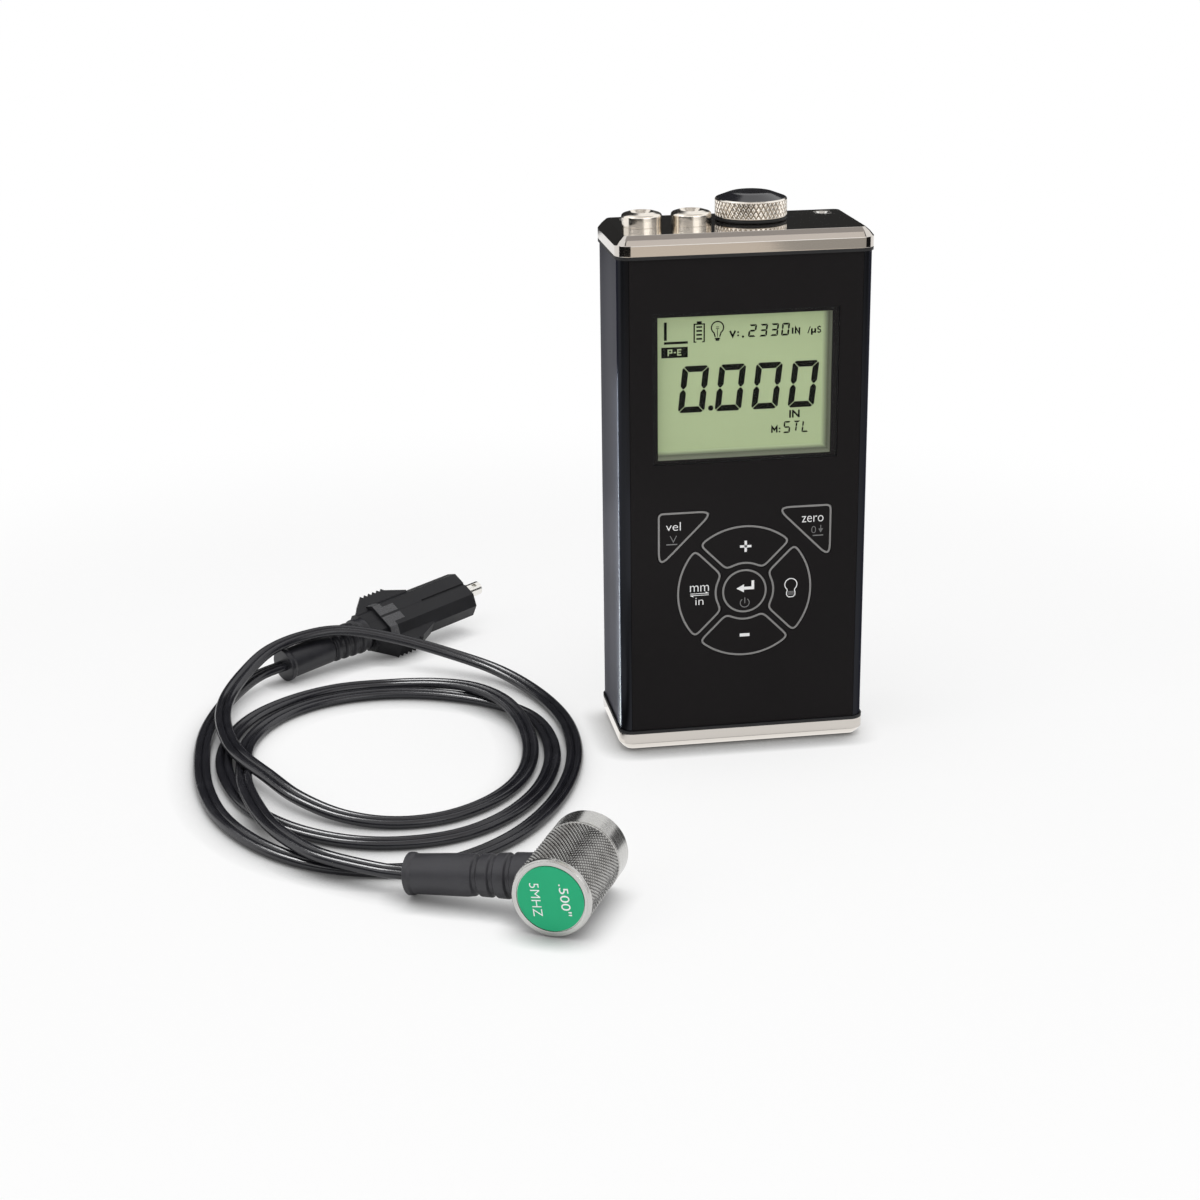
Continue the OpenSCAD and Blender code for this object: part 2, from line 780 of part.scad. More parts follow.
module probe_backing() {
    color("#35332f") on_probe() difference() {
        translate([0, barrel_wall_back, 0]) rotate([-90, 0, 0])
            cylinder(h = backing_y - barrel_wall_back, d = element_d);
        translate([0, boot_at, 0]) rotate([0, -90 - boot_drop, 0]) cylinder(h = probe_d, d = neck_d + slip);
    }
}

module probe_boot() {
    root = boot_root_d / 2;
    tip = boot_tip_d / 2;
    lip = boot_lip_d / 2;
    lip_z = boot_l - boot_lip_l;
    color("#1c1c1f") on_probe() translate([0, boot_at, 0]) rotate([0, -90 - boot_drop, 0]) difference() {
        rotate_extrude() polygon(concat(
            [[0, neck_from], [neck_d / 2, neck_from], [neck_d / 2, boot_seat], [root, boot_seat]],
            [for (i = [0:2]) let (z = groove_from + groove_step * i, r = root - groove_taper * i)
                each [[r, z], [r - groove_depth, z + groove_l / 4],
                    [r - groove_depth, z + groove_l * 3 / 4], [r - groove_taper / 2, z + groove_l]]],
            [[tip + groove_taper, boot_smooth], [tip, lip_z - boot_lip_l / 2],
                [lip, lip_z], [lip, boot_l], [0, boot_l]]
        ));
        difference() {
            translate([0, probe_l, 0]) rotate([90, 0, 0]) cylinder(h = 2 * probe_l, r = probe_r + tiny);
            cylinder(h = probe_r + over, d = neck_d);
        }
    }
}

module probe_cord() {
    color("#1c1c1f") swept(route, cord_w, strand_d, 8);
}

// Plug, with its sleeve end at the origin and its pin towards +Y

module plug_relief() {
    rib = rib_d / 2;
    tail = rib - rib_depth / 2;
    color("#1c1c1f") on_plug() turned(concat(
        [[0, 0], [lip_d / 2, 0], [lip_d / 2, lip_l],
            [sleeve_d / 2, lip_l + lip_taper], [sleeve_d / 2, sleeve_l]],
        [for (i = [0:3]) let (y = sleeve_l + rib_from + rib_step * i, r = rib - rib_taper * (3 - i))
            each [[r - rib_depth, y], [r, y + rib_l / 4],
                [r, y + rib_l * 3 / 4], [r - rib_depth, y + rib_l]]],
        [[tail, relief_l - rib_depth], [tail, relief_l], [0, relief_l]]
    ));
}

// Half of an octagon, to the right of the seam
module half_octagon(w, h) {
    c = shell_cut;
    polygon([[tiny, -h], [w - c, -h], [w, c - h], [w, h - c], [w - c, h], [tiny, h]]);
}

// One half of the plug's housing: an octagonal nose with a toothed grip wing behind it
module plug_shell(side) {
    w = shell_front_w / 2;
    h = shell_h / 2;
    wing = wing_w / 2;
    heel = relief_l + shell_heel;
    nose = relief_l + shell_l;
    color("#222226") on_plug() mirror([side > 0 ? 0 : 1, 0, 0]) difference() {
        union() {
            translate([0, nose, 0]) rotate([90, 0, 0]) linear_extrude(shell_l - shell_heel)
                half_octagon(w, h);
            translate([0, heel + tiny, 0]) rotate([90, 0, 0]) linear_extrude(shell_heel)
                half_octagon(w - shell_step, h - shell_step);
            translate([0, 0, -wing_h / 2]) linear_extrude(wing_h) polygon(concat(
                [[tiny, relief_l], [rib_d / 2, relief_l], [wing - tooth, heel]],
                [for (i = [0:5]) let (y = heel + tooth_step * (i + 1))
                    each [[wing, y - tooth_step / 2], [wing - tooth, y]]],
                [[w, wing_end], [tiny, wing_end]]
            ));
        }
        translate([0, nose - pin_root - slip, 0]) rotate([-90, 0, 0])
            cylinder(h = pin_root + slip + over, d = pin_d + 2 * pin_shoulder + slip);
        translate([0, wing_end, h]) rotate([-90, 0, 0]) cylinder(h = shell_l, d = seam_d);
    }
}

module plug_shell_left() {
    plug_shell(-1);
}

module plug_shell_right() {
    plug_shell(1);
}

module plug_pin() {
    nose = relief_l + shell_l;
    tip = nose + pin_l;
    r = pin_d / 2;
    root = r + pin_shoulder;
    color("#d2d0c9") on_plug() difference() {
        turned([
            [0, nose - pin_root], [root, nose - pin_root], [root, nose], [r, nose],
            [r, tip - pin_chamfer], [r - pin_chamfer, tip], [0, tip],
        ]);
        translate([0, nose, 0]) rotate([-90, 0, 0]) cylinder(h = pin_l + over, d = insert_d + slip);
        translate([-latch.x / 2, tip - latch_from_tip, 0]) cube([latch.x, latch.y, pin_d]);
    }
}

module plug_insert() {
    color("#efece3") on_plug() translate([0, relief_l + shell_l, 0]) rotate([-90, 0, 0])
        cylinder(h = pin_l - insert_short, d = insert_d);
}

case_extrusion();
front_overlay();
lcd_window();
lcd_panel();
backlight();
key_cap(0);  // key_enter
key_cap(1);  // key_plus
key_cap(4);  // key_units
key_cap(3);  // key_minus
key_cap(2);  // key_light
key_cap(5);  // key_velocity
key_cap(6);  // key_zero
key_domes();
keypad_board();
keypad_spacers();
main_board();
top_cap();
top_gasket();
top_cap_screws();
bottom_cap();
bottom_gasket();
bottom_cap_screws();
socket_left();
socket_right();
socket_nuts();
socket_insulators();
socket_contacts();
battery_cover();
cover_seal();
cover_contact();
battery_tube();
battery_base();
battery_spring();
battery_upper();
battery_lower();
probe_barrel();
probe_label();
delay_lines();
acoustic_barrier();
crystals();
probe_backing();
probe_boot();
probe_cord();
plug_shell_left();
plug_shell_right();
plug_relief();
plug_pin();
plug_insert();
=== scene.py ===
import math

import bmesh
import bpy
import numpy as np
from mathutils import Matrix


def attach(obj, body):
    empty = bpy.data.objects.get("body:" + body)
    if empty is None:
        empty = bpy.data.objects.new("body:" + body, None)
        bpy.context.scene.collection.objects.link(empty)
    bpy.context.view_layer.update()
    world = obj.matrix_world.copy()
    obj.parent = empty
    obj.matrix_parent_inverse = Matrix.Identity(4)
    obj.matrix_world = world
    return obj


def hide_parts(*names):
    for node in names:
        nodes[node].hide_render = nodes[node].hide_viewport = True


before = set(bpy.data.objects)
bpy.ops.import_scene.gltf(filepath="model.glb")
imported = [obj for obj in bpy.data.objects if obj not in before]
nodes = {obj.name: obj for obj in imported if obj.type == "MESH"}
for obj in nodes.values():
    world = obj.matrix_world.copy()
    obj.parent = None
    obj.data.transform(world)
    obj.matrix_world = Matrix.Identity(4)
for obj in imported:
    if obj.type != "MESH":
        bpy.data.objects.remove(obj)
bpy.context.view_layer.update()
bpy.context.scene.view_settings.view_transform = "Standard"
mm = 0.001
print("frame loaded:", len(nodes), "nodes")


# ---- camera


def addObject(name, data):
    # an object that stands in the scene with that data
    item = bpy.data.objects.new(name, data)
    bpy.context.scene.collection.objects.link(item)
    return item


def posed(side, up, back, spot):
    # the matrix of an object whose axes are those three directions
    m = np.eye(4)
    m[:3] = np.stack([side, up, back, spot], 1)
    return Matrix(m.tolist())


camera = dict(azimuth=-8.79, elevation=19.0, roll=-0.73, place=(-117.66, -539.33, 223.95), lens=67.80)


def makeCamera(s):
    # azimuth and elevation give the direction back to the lens, and roll turns right and up about it
    a, e, r = (math.radians(s[k]) for k in ("azimuth", "elevation", "roll"))
    back = np.array([math.sin(a) * math.cos(e), -math.cos(a) * math.cos(e), math.sin(e)])
    right = np.array([math.cos(a), math.sin(a), 0.0])
    up = np.cross(back, right)
    side = right * math.cos(r) + up * math.sin(r)
    top = up * math.cos(r) - right * math.sin(r)
    cam = addObject("camera", bpy.data.cameras.new("camera"))
    cam.data.lens = s["lens"]
    cam.data.sensor_width = 36
    cam.data.clip_start, cam.data.clip_end = 0.01, 50
    cam.matrix_world = posed(side, top, back, np.array(s["place"]) * mm)
    bpy.context.scene.camera = cam


makeCamera(camera)


# ---- shape helpers, all in millimetres


def unit(v):
    # vectors scaled to length one
    v = np.asarray(v, float)
    return v / np.linalg.norm(v, axis=-1, keepdims=True)


def onCircle(t, r, x=0.0, y=0.0):
    # points of a circle at the angles t
    return np.stack([x + r * np.cos(t), y + r * np.sin(t)], 1)


def spin(a):
    # the matrix that turns flat points by an angle
    return np.array([[math.cos(a), -math.sin(a)], [math.sin(a), math.cos(a)]])


def gridFaces(nu, nv, wrapU=False, wrapV=False):
    # quads between neighbours of a grid, numbered row by row
    u = np.arange(nu if wrapU else nu - 1)
    v = np.arange(nv if wrapV else nv - 1)
    uu, vv = np.meshgrid(u, v, indexing="ij")
    u1, v1 = (uu + 1) % nu, (vv + 1) % nv
    return np.stack([uu * nv + vv, u1 * nv + vv, u1 * nv + v1, uu * nv + v1], -1).reshape(-1, 4)


def gridPart(points, wrapU=False, wrapV=False):
    # a grid of points with its quads
    nu, nv = points.shape[:2]
    return points.reshape(-1, 3), [tuple(f) for f in gridFaces(nu, nv, wrapU, wrapV).tolist()]


def joined(parts):
    # several parts, renumbered as one
    points, faces, start = [], [], 0
    for p, f in parts:
        points.append(np.asarray(p, float))
        faces += [tuple(i + start for i in q) for q in f]
        start += len(p)
    return np.concatenate(points), faces


def place(name, part, coat, slot, sharp, body="root", uv=None, groove=None, fillLoops=None, stands=()):
    # puts a part into the scene as a piece that rides on a body
    points, faces = part
    mesh = bpy.data.meshes.new(name)
    mesh.from_pydata((np.asarray(points) * mm).tolist(), [], faces)
    if groove is not None:
        depths = mesh.attributes.new("groove", "FLOAT", "POINT").data
        depths.foreach_set("value", np.asarray(groove, np.float32).ravel())
    if uv is not None:
        layer = mesh.uv_layers.new(name="turned")
        corner = np.zeros(len(mesh.loops), np.int32)
        mesh.loops.foreach_get("vertex_index", corner)
        layer.data.foreach_set("uv", np.asarray(uv, np.float32)[corner].ravel())
    bm = bmesh.new()
    bm.from_mesh(mesh)
    bmesh.ops.remove_doubles(bm, verts=bm.verts, dist=2e-7)
    if fillLoops:
        bm.verts.ensure_lookup_table()
        rim = [e for e in bm.edges if e.is_boundary]
        for level in fillLoops:
            flat = [e for e in rim if all(abs(v.co.z - level * mm) < 1e-7 for v in e.verts)]
            bmesh.ops.triangle_fill(bm, use_beauty=True, use_dissolve=False, edges=flat)
    bmesh.ops.dissolve_degenerate(bm, dist=1e-8, edges=bm.edges)
    bmesh.ops.recalc_face_normals(bm, faces=bm.faces)
    bm.to_mesh(mesh)
    bm.free()
    mesh.polygons.foreach_set("use_smooth", np.ones(len(mesh.polygons), bool))
    mesh.set_sharp_from_angle(angle=math.radians(sharp))
    mesh.materials.append(coat)
    piece = addObject(name, mesh)
    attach(piece, body)
    if stands:
        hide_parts(*stands)
    return piece


def filleted(points, radius, steps=4, support=0.12):
    # an open profile whose inner corners become arcs, with a point close to each arc's ends
    p = np.asarray(points, float)
    r = np.broadcast_to(radius, len(p))
    out = [p[0]]
    for i in range(1, len(p) - 1):
        a, b = p[i - 1] - p[i], p[i + 1] - p[i]
        la, lb = np.linalg.norm(a), np.linalg.norm(b)
        a, b = a / la, b / lb
        half = math.acos(np.clip(a @ b, -1, 1)) / 2
        cut = min(r[i] / math.tan(half), 0.45 * la, 0.45 * lb) if r[i] > 0 else 0
        if cut <= 0 or abs(half - math.pi / 2) < 1e-3:
            out.append(p[i])
            continue
        t = np.linspace(0, 1, steps + 1)[:, None]
        start, end = p[i] + a * cut, p[i] + b * cut
        arc = (1 - t) ** 2 * start + 2 * t * (1 - t) * p[i] + t**2 * end
        out.append(start + a * min(support, 0.2 * la))
        out.extend(arc)
        out.append(end + b * min(support, 0.2 * lb))
    out.append(p[-1])
    return np.array(out)


def axes(centre, along):
    # a frame whose third axis runs along a direction
    z = unit(along)
    x = unit(np.cross([0, 0, 1.0], z) if abs(z[2]) < 0.99 else (1.0, 0, 0))
    return np.asarray(centre, float), x, np.cross(z, x), z


def lathe(profile, spot, count, bump=None):
    # radius and height of a profile turned about an axis; bump adds to the radius by angle and height
    profile = np.asarray(profile, float)
    c, ex, ey, ez = spot
    angle = np.arange(count) * 2 * math.pi / count
    r = np.repeat(profile[None, :, 0], count, 0)
    h = np.repeat(profile[None, :, 1], count, 0)
    extra = {}
    if bump is not None:
        rise = bump(angle[:, None], h, r)
        r = r + rise
        # the relative groove depth, which the painted groove shade reads
        extra["groove"] = rise / rise.min()
    grid = (c + r[..., None] * (np.cos(angle)[:, None, None] * ex + np.sin(angle)[:, None, None] * ey)
            + h[..., None] * ez)
    run = np.concatenate([[0], np.cumsum(np.linalg.norm(np.diff(profile, axis=0), axis=1))])
    around = angle * profile[:, 0].max()
    extra["uv"] = np.stack(np.meshgrid(around, run, indexing="ij"), -1).reshape(-1, 2)
    return gridPart(grid, wrapU=True), extra


def turnPiece(name, profile, spot, count, coat, slot, sharp, bump=None, **more):
    # a profile turned about an axis and placed with its uv and the depth of its grooves
    part, extra = lathe(profile, spot, count, bump)
    return place(name, part, coat, slot, sharp, **extra, **more)


def knurl(radius, pitch, tall, depth, low, high, fade, crest):
    # two crossing families of helical V grooves, pitch apart around and tall times that along the axis;
    # the lower of the two ridge heights is the surface, cut off flat at the crest
    count = round(2 * math.pi * radius / pitch)

    def field(angle, height, r):
        u, v = angle * count / (2 * math.pi), (height - low) / (pitch * tall)
        one = np.abs((u + v) % 1 - 0.5) * 2
        two = np.abs((u - v) % 1 - 0.5) * 2
        ridge = np.minimum(np.minimum(one, two), crest) / crest
        ends = np.clip(np.minimum(height - low, high - height) / fade, 0, 1)
        return np.where(np.abs(r - radius) < 1e-6, -depth * (1 - ridge) * ends, 0)

    return field


def roundedLoop(w, d, r, corner=10):
    # a rounded rectangle, anticlockwise, the same number of points whatever its radius
    t = np.linspace(0, math.pi / 2, corner)
    arc = onCircle(t, r)
    spots = [(1, 1), (-1, 1), (-1, -1), (1, -1)]
    return np.concatenate([arc @ spin(k * math.pi / 2).T + np.array(s) * [w / 2 - r, d / 2 - r]
                           for k, s in enumerate(spots)])


def ringPart(radius, centre, z, count=48):
    # a level ring of points
    t = np.arange(count) * 2 * math.pi / count
    return np.column_stack([onCircle(t, radius, *centre), np.full(count, z)])


def softCorners(path, window, count=360):
    # a closed path walked at even steps, each point the mean of a short stretch about it
    p = np.asarray(path, float)
    closed = np.concatenate([p, p[:1]])
    run = np.concatenate([[0], np.cumsum(np.linalg.norm(np.diff(closed, axis=0), axis=1))])
    s = np.arange(count) * run[-1] / count
    q = np.stack([np.interp(s, run, closed[:, k]) for k in (0, 1)], 1)
    half = max(1, int(window / run[-1] * count / 2))
    weights = np.hanning(2 * half + 3)[1:-1]
    weights /= weights.sum()
    rolled = [np.roll(q, k, axis=0) * w for k, w in zip(range(-half, half + 1), weights)]
    return np.sum(rolled, axis=0)


def ribbon(path, width, height, closed=False, inward=0.0):
    # a low bar of even width carried along a flat path; inward shifts it to the left of the path
    p = np.asarray(path, float)
    ahead = np.roll(p, -1, 0) - p if closed else np.diff(p, axis=0, append=p[-1:] * 2 - p[-2:-1])
    behind = p - np.roll(p, 1, 0) if closed else np.diff(p, axis=0, prepend=p[:1] * 2 - p[1:2])
    ahead, behind = unit(ahead), unit(behind)
    way = unit(ahead + behind)
    left = np.stack([-way[:, 1], way[:, 0]], 1)
    mitre = 1 / np.clip(np.abs(np.sum(left * np.stack([-ahead[:, 1], ahead[:, 0]], 1), 1)), 0.4, 1)
    left = left * mitre[:, None]
    section = np.array([[-0.5, 0], [-0.42, 1], [0.42, 1], [0.5, 0]])
    across = section[:, 0] * width + inward
    flat = p[:, None, :] + left[:, None, :] * across[None, :, None]
    rise = np.broadcast_to(section[:, 1] * height, flat.shape[:2])
    grid = np.concatenate([flat, rise[..., None]], -1)
    part = gridPart(grid, wrapU=closed, wrapV=True)
    if not closed:
        part[1].extend([(3, 2, 1, 0), tuple((len(p) - 1) * 4 + k for k in range(4))])
    return part


def slab(outline, height):
    # a flat plate with that outline
    p = np.asarray(outline, float)
    n = len(p)
    low = np.concatenate([p, np.zeros((n, 1))], 1)
    top = np.concatenate([p, np.full((n, 1), height)], 1)
    sides = [(i, (i + 1) % n, n + (i + 1) % n, n + i) for i in range(n)]
    return np.concatenate([low, top]), sides + [tuple(range(n, 2 * n)), tuple(range(n - 1, -1, -1))]


def bar(x0, z0, x1, z1, height):
    # a flat plate with square corners
    return slab([(x0, z0), (x1, z0), (x1, z1), (x0, z1)], height)


def disc(x, z, r, height, count=24):
    # a flat round plate
    return slab(onCircle(np.arange(count) * 2 * math.pi / count, r, x, z), height)


def wording(text, x, z, w, h, height, bold=0.0):
    # plain letters fitted to a box of w by h, centred on x and z
    curve = bpy.data.curves.new("wording", "FONT")
    curve.body = text
    curve.size = h
    curve.offset = bold * h
    curve.fill_mode = "BOTH"
    curve.extrude = height / 2
    curve.resolution_u = 4
    holder = addObject("wording", curve)
    bpy.context.view_layer.update()
    mesh = bpy.data.meshes.new_from_object(holder.evaluated_get(bpy.context.evaluated_depsgraph_get()))
    p = np.zeros(len(mesh.vertices) * 3)
    mesh.vertices.foreach_get("co", p)
    p = p.reshape(-1, 3)
    faces = [tuple(f.vertices) for f in mesh.polygons]
    low, high = p[:, :2].min(0), p[:, :2].max(0)
    p[:, :2] = (p[:, :2] - (low + high) / 2) / (high - low) * [w, h] + [x, z]
    p[:, 2] += height / 2
    bpy.data.objects.remove(holder)
    bpy.data.meshes.remove(mesh)
    bpy.data.curves.remove(curve)
    return p, faces


def onFace(part, y):
    # stands a flat part up on a plane that faces the front
    p, f = part
    return np.stack([p[:, 0], y - p[:, 2], p[:, 1]], 1), f


# ---- finishes


def setInputs(node, **inputs):
    # constants on a node's named inputs
    for key, value in inputs.items():
        node.inputs[key.replace("_", " ")].default_value = value
    return node


def addNode(tree, kind, **inputs):
    # a shader node of one kind, with the named inputs set
    return setInputs(tree.nodes.new("ShaderNode" + kind), **inputs)


def newMaterial(name, **inputs):
    # a material with its node tree and its main shader, on which the named inputs are set
    material = bpy.data.materials.new(name)
    material.use_nodes = True
    tree = material.node_tree
    return material, tree, setInputs(tree.nodes["Principled BSDF"], **inputs)


noiseRange = (0.3, 0.7)  # where the noise's values mostly lie


def finish(name, colour, metallic=0.0, rough=0.5, grain=0.0, grainSize=1.0, stretch=(1, 1, 1), mottle=0.0,
           mottleSize=20.0, roughVary=0.0, uv=False, **sockets):
    # one surface: noise at grainSize mm makes the bump, a slower noise varies colour and roughness
    material, tree, shader = newMaterial(name, Base_Color=(*colour, 1), Metallic=metallic, Roughness=rough, **sockets)
    link = tree.links.new
    coords = addNode(tree, "TexCoord")
    scale = addNode(tree, "Mapping", Scale=stretch)
    link(coords.outputs["UV" if uv else "Object"], scale.inputs["Vector"])
    unit = 1.0 if uv else 1 / mm
    if grain:
        fine = addNode(tree, "TexNoise", Scale=unit / grainSize, Detail=3)
        bump = addNode(tree, "Bump", Strength=grain, Distance=0.1 * mm)
        link(scale.outputs["Vector"], fine.inputs["Vector"])
        link(fine.outputs["Fac"], bump.inputs["Height"])
        link(bump.outputs["Normal"], shader.inputs["Normal"])
    if mottle or roughVary:
        slow = addNode(tree, "TexNoise", Scale=unit / mottleSize, Detail=4)
        link(scale.outputs["Vector"], slow.inputs["Vector"])
    if mottle:
        ramp = addNode(tree, "ValToRGB")
        dark, pale = ramp.color_ramp.elements
        dark.position, pale.position = noiseRange
        dark.color = (*[c * (1 - mottle) for c in colour], 1)
        pale.color = (*[min(1, c * (1 + mottle)) for c in colour], 1)
        link(slow.outputs["Fac"], ramp.inputs["Fac"])
        link(ramp.outputs["Color"], shader.inputs["Base Color"])
    if roughVary:
        spread = addNode(tree, "MapRange", From_Min=noiseRange[0], From_Max=noiseRange[1],
                         To_Min=max(0.02, rough - roughVary), To_Max=rough + roughVary)
        link(slow.outputs["Fac"], spread.inputs["Value"])
        link(spread.outputs["Result"], shader.inputs["Roughness"])
    return material


anodised = finish("anodised_black", (0.024, 0.025, 0.029), 1.0, 0.3, grain=0.05, grainSize=0.25,
                  stretch=(1, 1, 0.02), mottle=0.12, mottleSize=30, roughVary=0.05,
                  Specular_Tint=(0.42, 0.42, 0.45, 1))
overlayFilm = finish("overlay_film", (0.0108, 0.0096, 0.0100), 0.0, 0.6, grain=0.06, grainSize=0.12,
                     mottle=0.05, mottleSize=9, roughVary=0.05, Specular_IOR_Level=0.08)
outlinePrint = finish("outline_print", (0.24, 0.235, 0.23), 0.0, 0.5, grain=0.05, grainSize=0.1, mottle=0.06)
whitePrint = finish("white_print", (0.93, 0.93, 0.93), 0.0, 0.5, grain=0.05, grainSize=0.1, mottle=0.03)
greyPrint = finish("grey_print", (0.2, 0.2, 0.2), 0.0, 0.5, grain=0.05, grainSize=0.1, mottle=0.06)
nickel = finish("polished_nickel", (0.66, 0.62, 0.575), 1.0, 0.07, grain=0.02, grainSize=0.4,
                stretch=(0.05, 1, 1), mottle=0.04, mottleSize=14, roughVary=0.03)
turnedNickel = finish("turned_nickel", (0.88, 0.82, 0.735), 1.0, 0.16, grain=0.10, grainSize=0.09,
                      stretch=(0.3, 1, 1), mottle=0.06, mottleSize=1.2, roughVary=0.06, uv=True)
knurledNickel = finish("knurled_nickel", (0.92, 0.87, 0.80), 1.0, 0.20, grain=0.03, grainSize=0.15,
                       mottle=0.08, mottleSize=3, roughVary=0.06)
probeSteel = finish("probe_steel", (0.60, 0.594, 0.577), 1.0, 0.24, grain=0.05, grainSize=0.12,
                    stretch=(0.04, 1, 1), mottle=0.08, mottleSize=0.4, roughVary=0.05, uv=True)
rubber = finish("black_rubber", (0.038, 0.0375, 0.043), 0.0, 0.46, grain=0.10, grainSize=0.2,
                mottle=0.15, mottleSize=6, roughVary=0.08)
gasketRubber = finish("gasket_rubber", (0.006, 0.006, 0.007), 0.0, 0.6, grain=0.1, grainSize=0.2, mottle=0.15)
cordJacket = finish("cord_jacket", (0.012, 0.012, 0.016), 0.0, 0.24, grain=0.02, grainSize=0.5,
                    mottle=0.15, mottleSize=8, roughVary=0.05, Specular_IOR_Level=0.62)
reliefRubber = finish("relief_rubber", (0.018, 0.018, 0.022), 0.0, 0.36, grain=0.10, grainSize=0.2,
                      mottle=0.15, mottleSize=6, roughVary=0.08)
plugPlastic = finish("plug_plastic", (0.0105, 0.0105, 0.0125), 0.0, 0.42, grain=0.10, grainSize=0.15,
                     mottle=0.12, mottleSize=5, roughVary=0.08, Specular_IOR_Level=0.3)
displayGreen = finish("display_green", (0.472, 0.57, 0.325), 0.0, 0.5, grain=0.01, grainSize=0.2, mottle=0.02,
                      Specular_IOR_Level=0.1)
displayInk = finish("display_ink", (0.003, 0.0035, 0.002), 0.0, 0.6, grain=0.02, grainSize=0.1, mottle=0.1,
                    Specular_IOR_Level=0.03)
labelGreen = finish("label_green", (0.022, 0.445, 0.208), 0.0, 0.4, grain=0.03, grainSize=0.2, mottle=0.04,
                    Specular_IOR_Level=0.2)
screwSteel = finish("screw_steel", (0.86, 0.84, 0.80), 1.0, 0.2, grain=0.03, grainSize=0.2, mottle=0.05)
clearPane = finish("clear_pane", (0.9, 0.93, 0.88), 0.0, 0.12, grain=0.01, grainSize=0.5, mottle=0.01, Alpha=0.006,
                   Specular_IOR_Level=0.1)
domeBlack = finish("polished_black", (0.012, 0.012, 0.015), 0.0, 0.16, grain=0.01, grainSize=0.6, mottle=0.1,
                   roughVary=0.04, Specular_IOR_Level=0.55)
stipple = finish("stippled_grey", (0.08, 0.08, 0.084), 0.0, 0.6, grain=0.6, grainSize=0.16, mottle=0.45,
                 mottleSize=0.3)


def paintGrooveShade(material, dark):
    # painted shade: the surface darkens with the depth of its knurl grooves, which the mesh carries as an attribute
    tree = material.node_tree
    colour = tree.nodes["Principled BSDF"].inputs["Base Color"]
    depth = addNode(tree, "Attribute")
    depth.attribute_name = "groove"
    blend = addNode(tree, "MixRGB", Color2=(*dark, 1))
    tree.links.new(depth.outputs["Fac"], blend.inputs["Fac"])
    tree.links.new(colour.links[0].from_socket, blend.inputs["Color1"])
    tree.links.new(blend.outputs["Color"], colour)


# painted shade in the knurl grooves of the battery cover and the probe barrel
paintGrooveShade(knurledNickel, (0.30, 0.25, 0.19))
paintGrooveShade(probeSteel, (0.045, 0.043, 0.041))

nodeFinish = {
    anodised: ["case_extrusion"],
    overlayFilm: ["front_overlay", "key_enter", "key_plus", "key_units", "key_minus", "key_light",
                  "key_velocity", "key_zero"],
    clearPane: ["lcd_window"],
    displayGreen: ["lcd_panel"],
    nickel: ["top_cap", "bottom_cap"],
    gasketRubber: ["top_gasket", "bottom_gasket", "cover_seal"],
    screwSteel: ["top_cap_screws", "bottom_cap_screws", "plug_pin"],
    turnedNickel: ["socket_left", "socket_right", "socket_nuts"],
    knurledNickel: ["battery_cover"],
    probeSteel: ["probe_barrel"],
    labelGreen: ["probe_label"],
    rubber: ["probe_boot", "plug_relief"],
    cordJacket: ["probe_cord"],
    plugPlastic: ["plug_shell_left", "plug_shell_right"],
}
innerFinish = {  # colour, metallic, rough, grain, grainSize, mottle, mottleSize and nodes of what lies inside
    "board_green": ((0.03, 0.16, 0.07), 0.0, 0.4, 0.05, 0.5, 0.15, 20, ["keypad_board", "main_board"]),
    "spring_steel": ((0.66, 0.66, 0.64), 1.0, 0.25, 0.03, 0.3, 0.05, 20,
                     ["key_domes", "keypad_spacers", "battery_spring"]),
    "white_plastic": ((0.78, 0.77, 0.72), 0.0, 0.45, 0.05, 0.3, 0.04, 20,
                      ["backlight", "socket_insulators", "battery_base", "plug_insert"]),
    "gold_contact": ((0.80, 0.60, 0.28), 1.0, 0.22, 0.03, 0.2, 0.05, 20, ["socket_contacts", "cover_contact"]),
    "plain_aluminium": ((0.60, 0.61, 0.63), 1.0, 0.32, 0.04, 0.3, 0.05, 20, ["battery_tube"]),
    "cell_jacket": ((0.05, 0.07, 0.09), 0.2, 0.3, 0.02, 0.4, 0.06, 20, ["battery_upper", "battery_lower"]),
    "amber_plastic": ((0.55, 0.42, 0.2), 0.0, 0.25, 0.02, 0.3, 0.05, 20, ["delay_lines"]),
    "cork_barrier": ((0.18, 0.09, 0.045), 0.0, 0.8, 0.3, 0.3, 0.3, 1, ["acoustic_barrier"]),
    "ceramic": ((0.42, 0.36, 0.26), 0.0, 0.5, 0.03, 0.3, 0.05, 20, ["crystals"]),
    "dark_resin": ((0.03, 0.03, 0.027), 0.0, 0.4, 0.05, 0.5, 0.1, 20, ["probe_backing"]),
}
for name, (colour, metallic, rough, grain, grainSize, mottle, mottleSize, names) in innerFinish.items():
    nodeFinish[finish(name, colour, metallic, rough, grain, grainSize, mottle=mottle, mottleSize=mottleSize)] = names
for material, names in nodeFinish.items():
    for n in names:
        nodes[n].data.materials.clear()
        nodes[n].data.materials.append(material)
print("finishes made")


# ---- twin lead, from the probe's boot to the plug


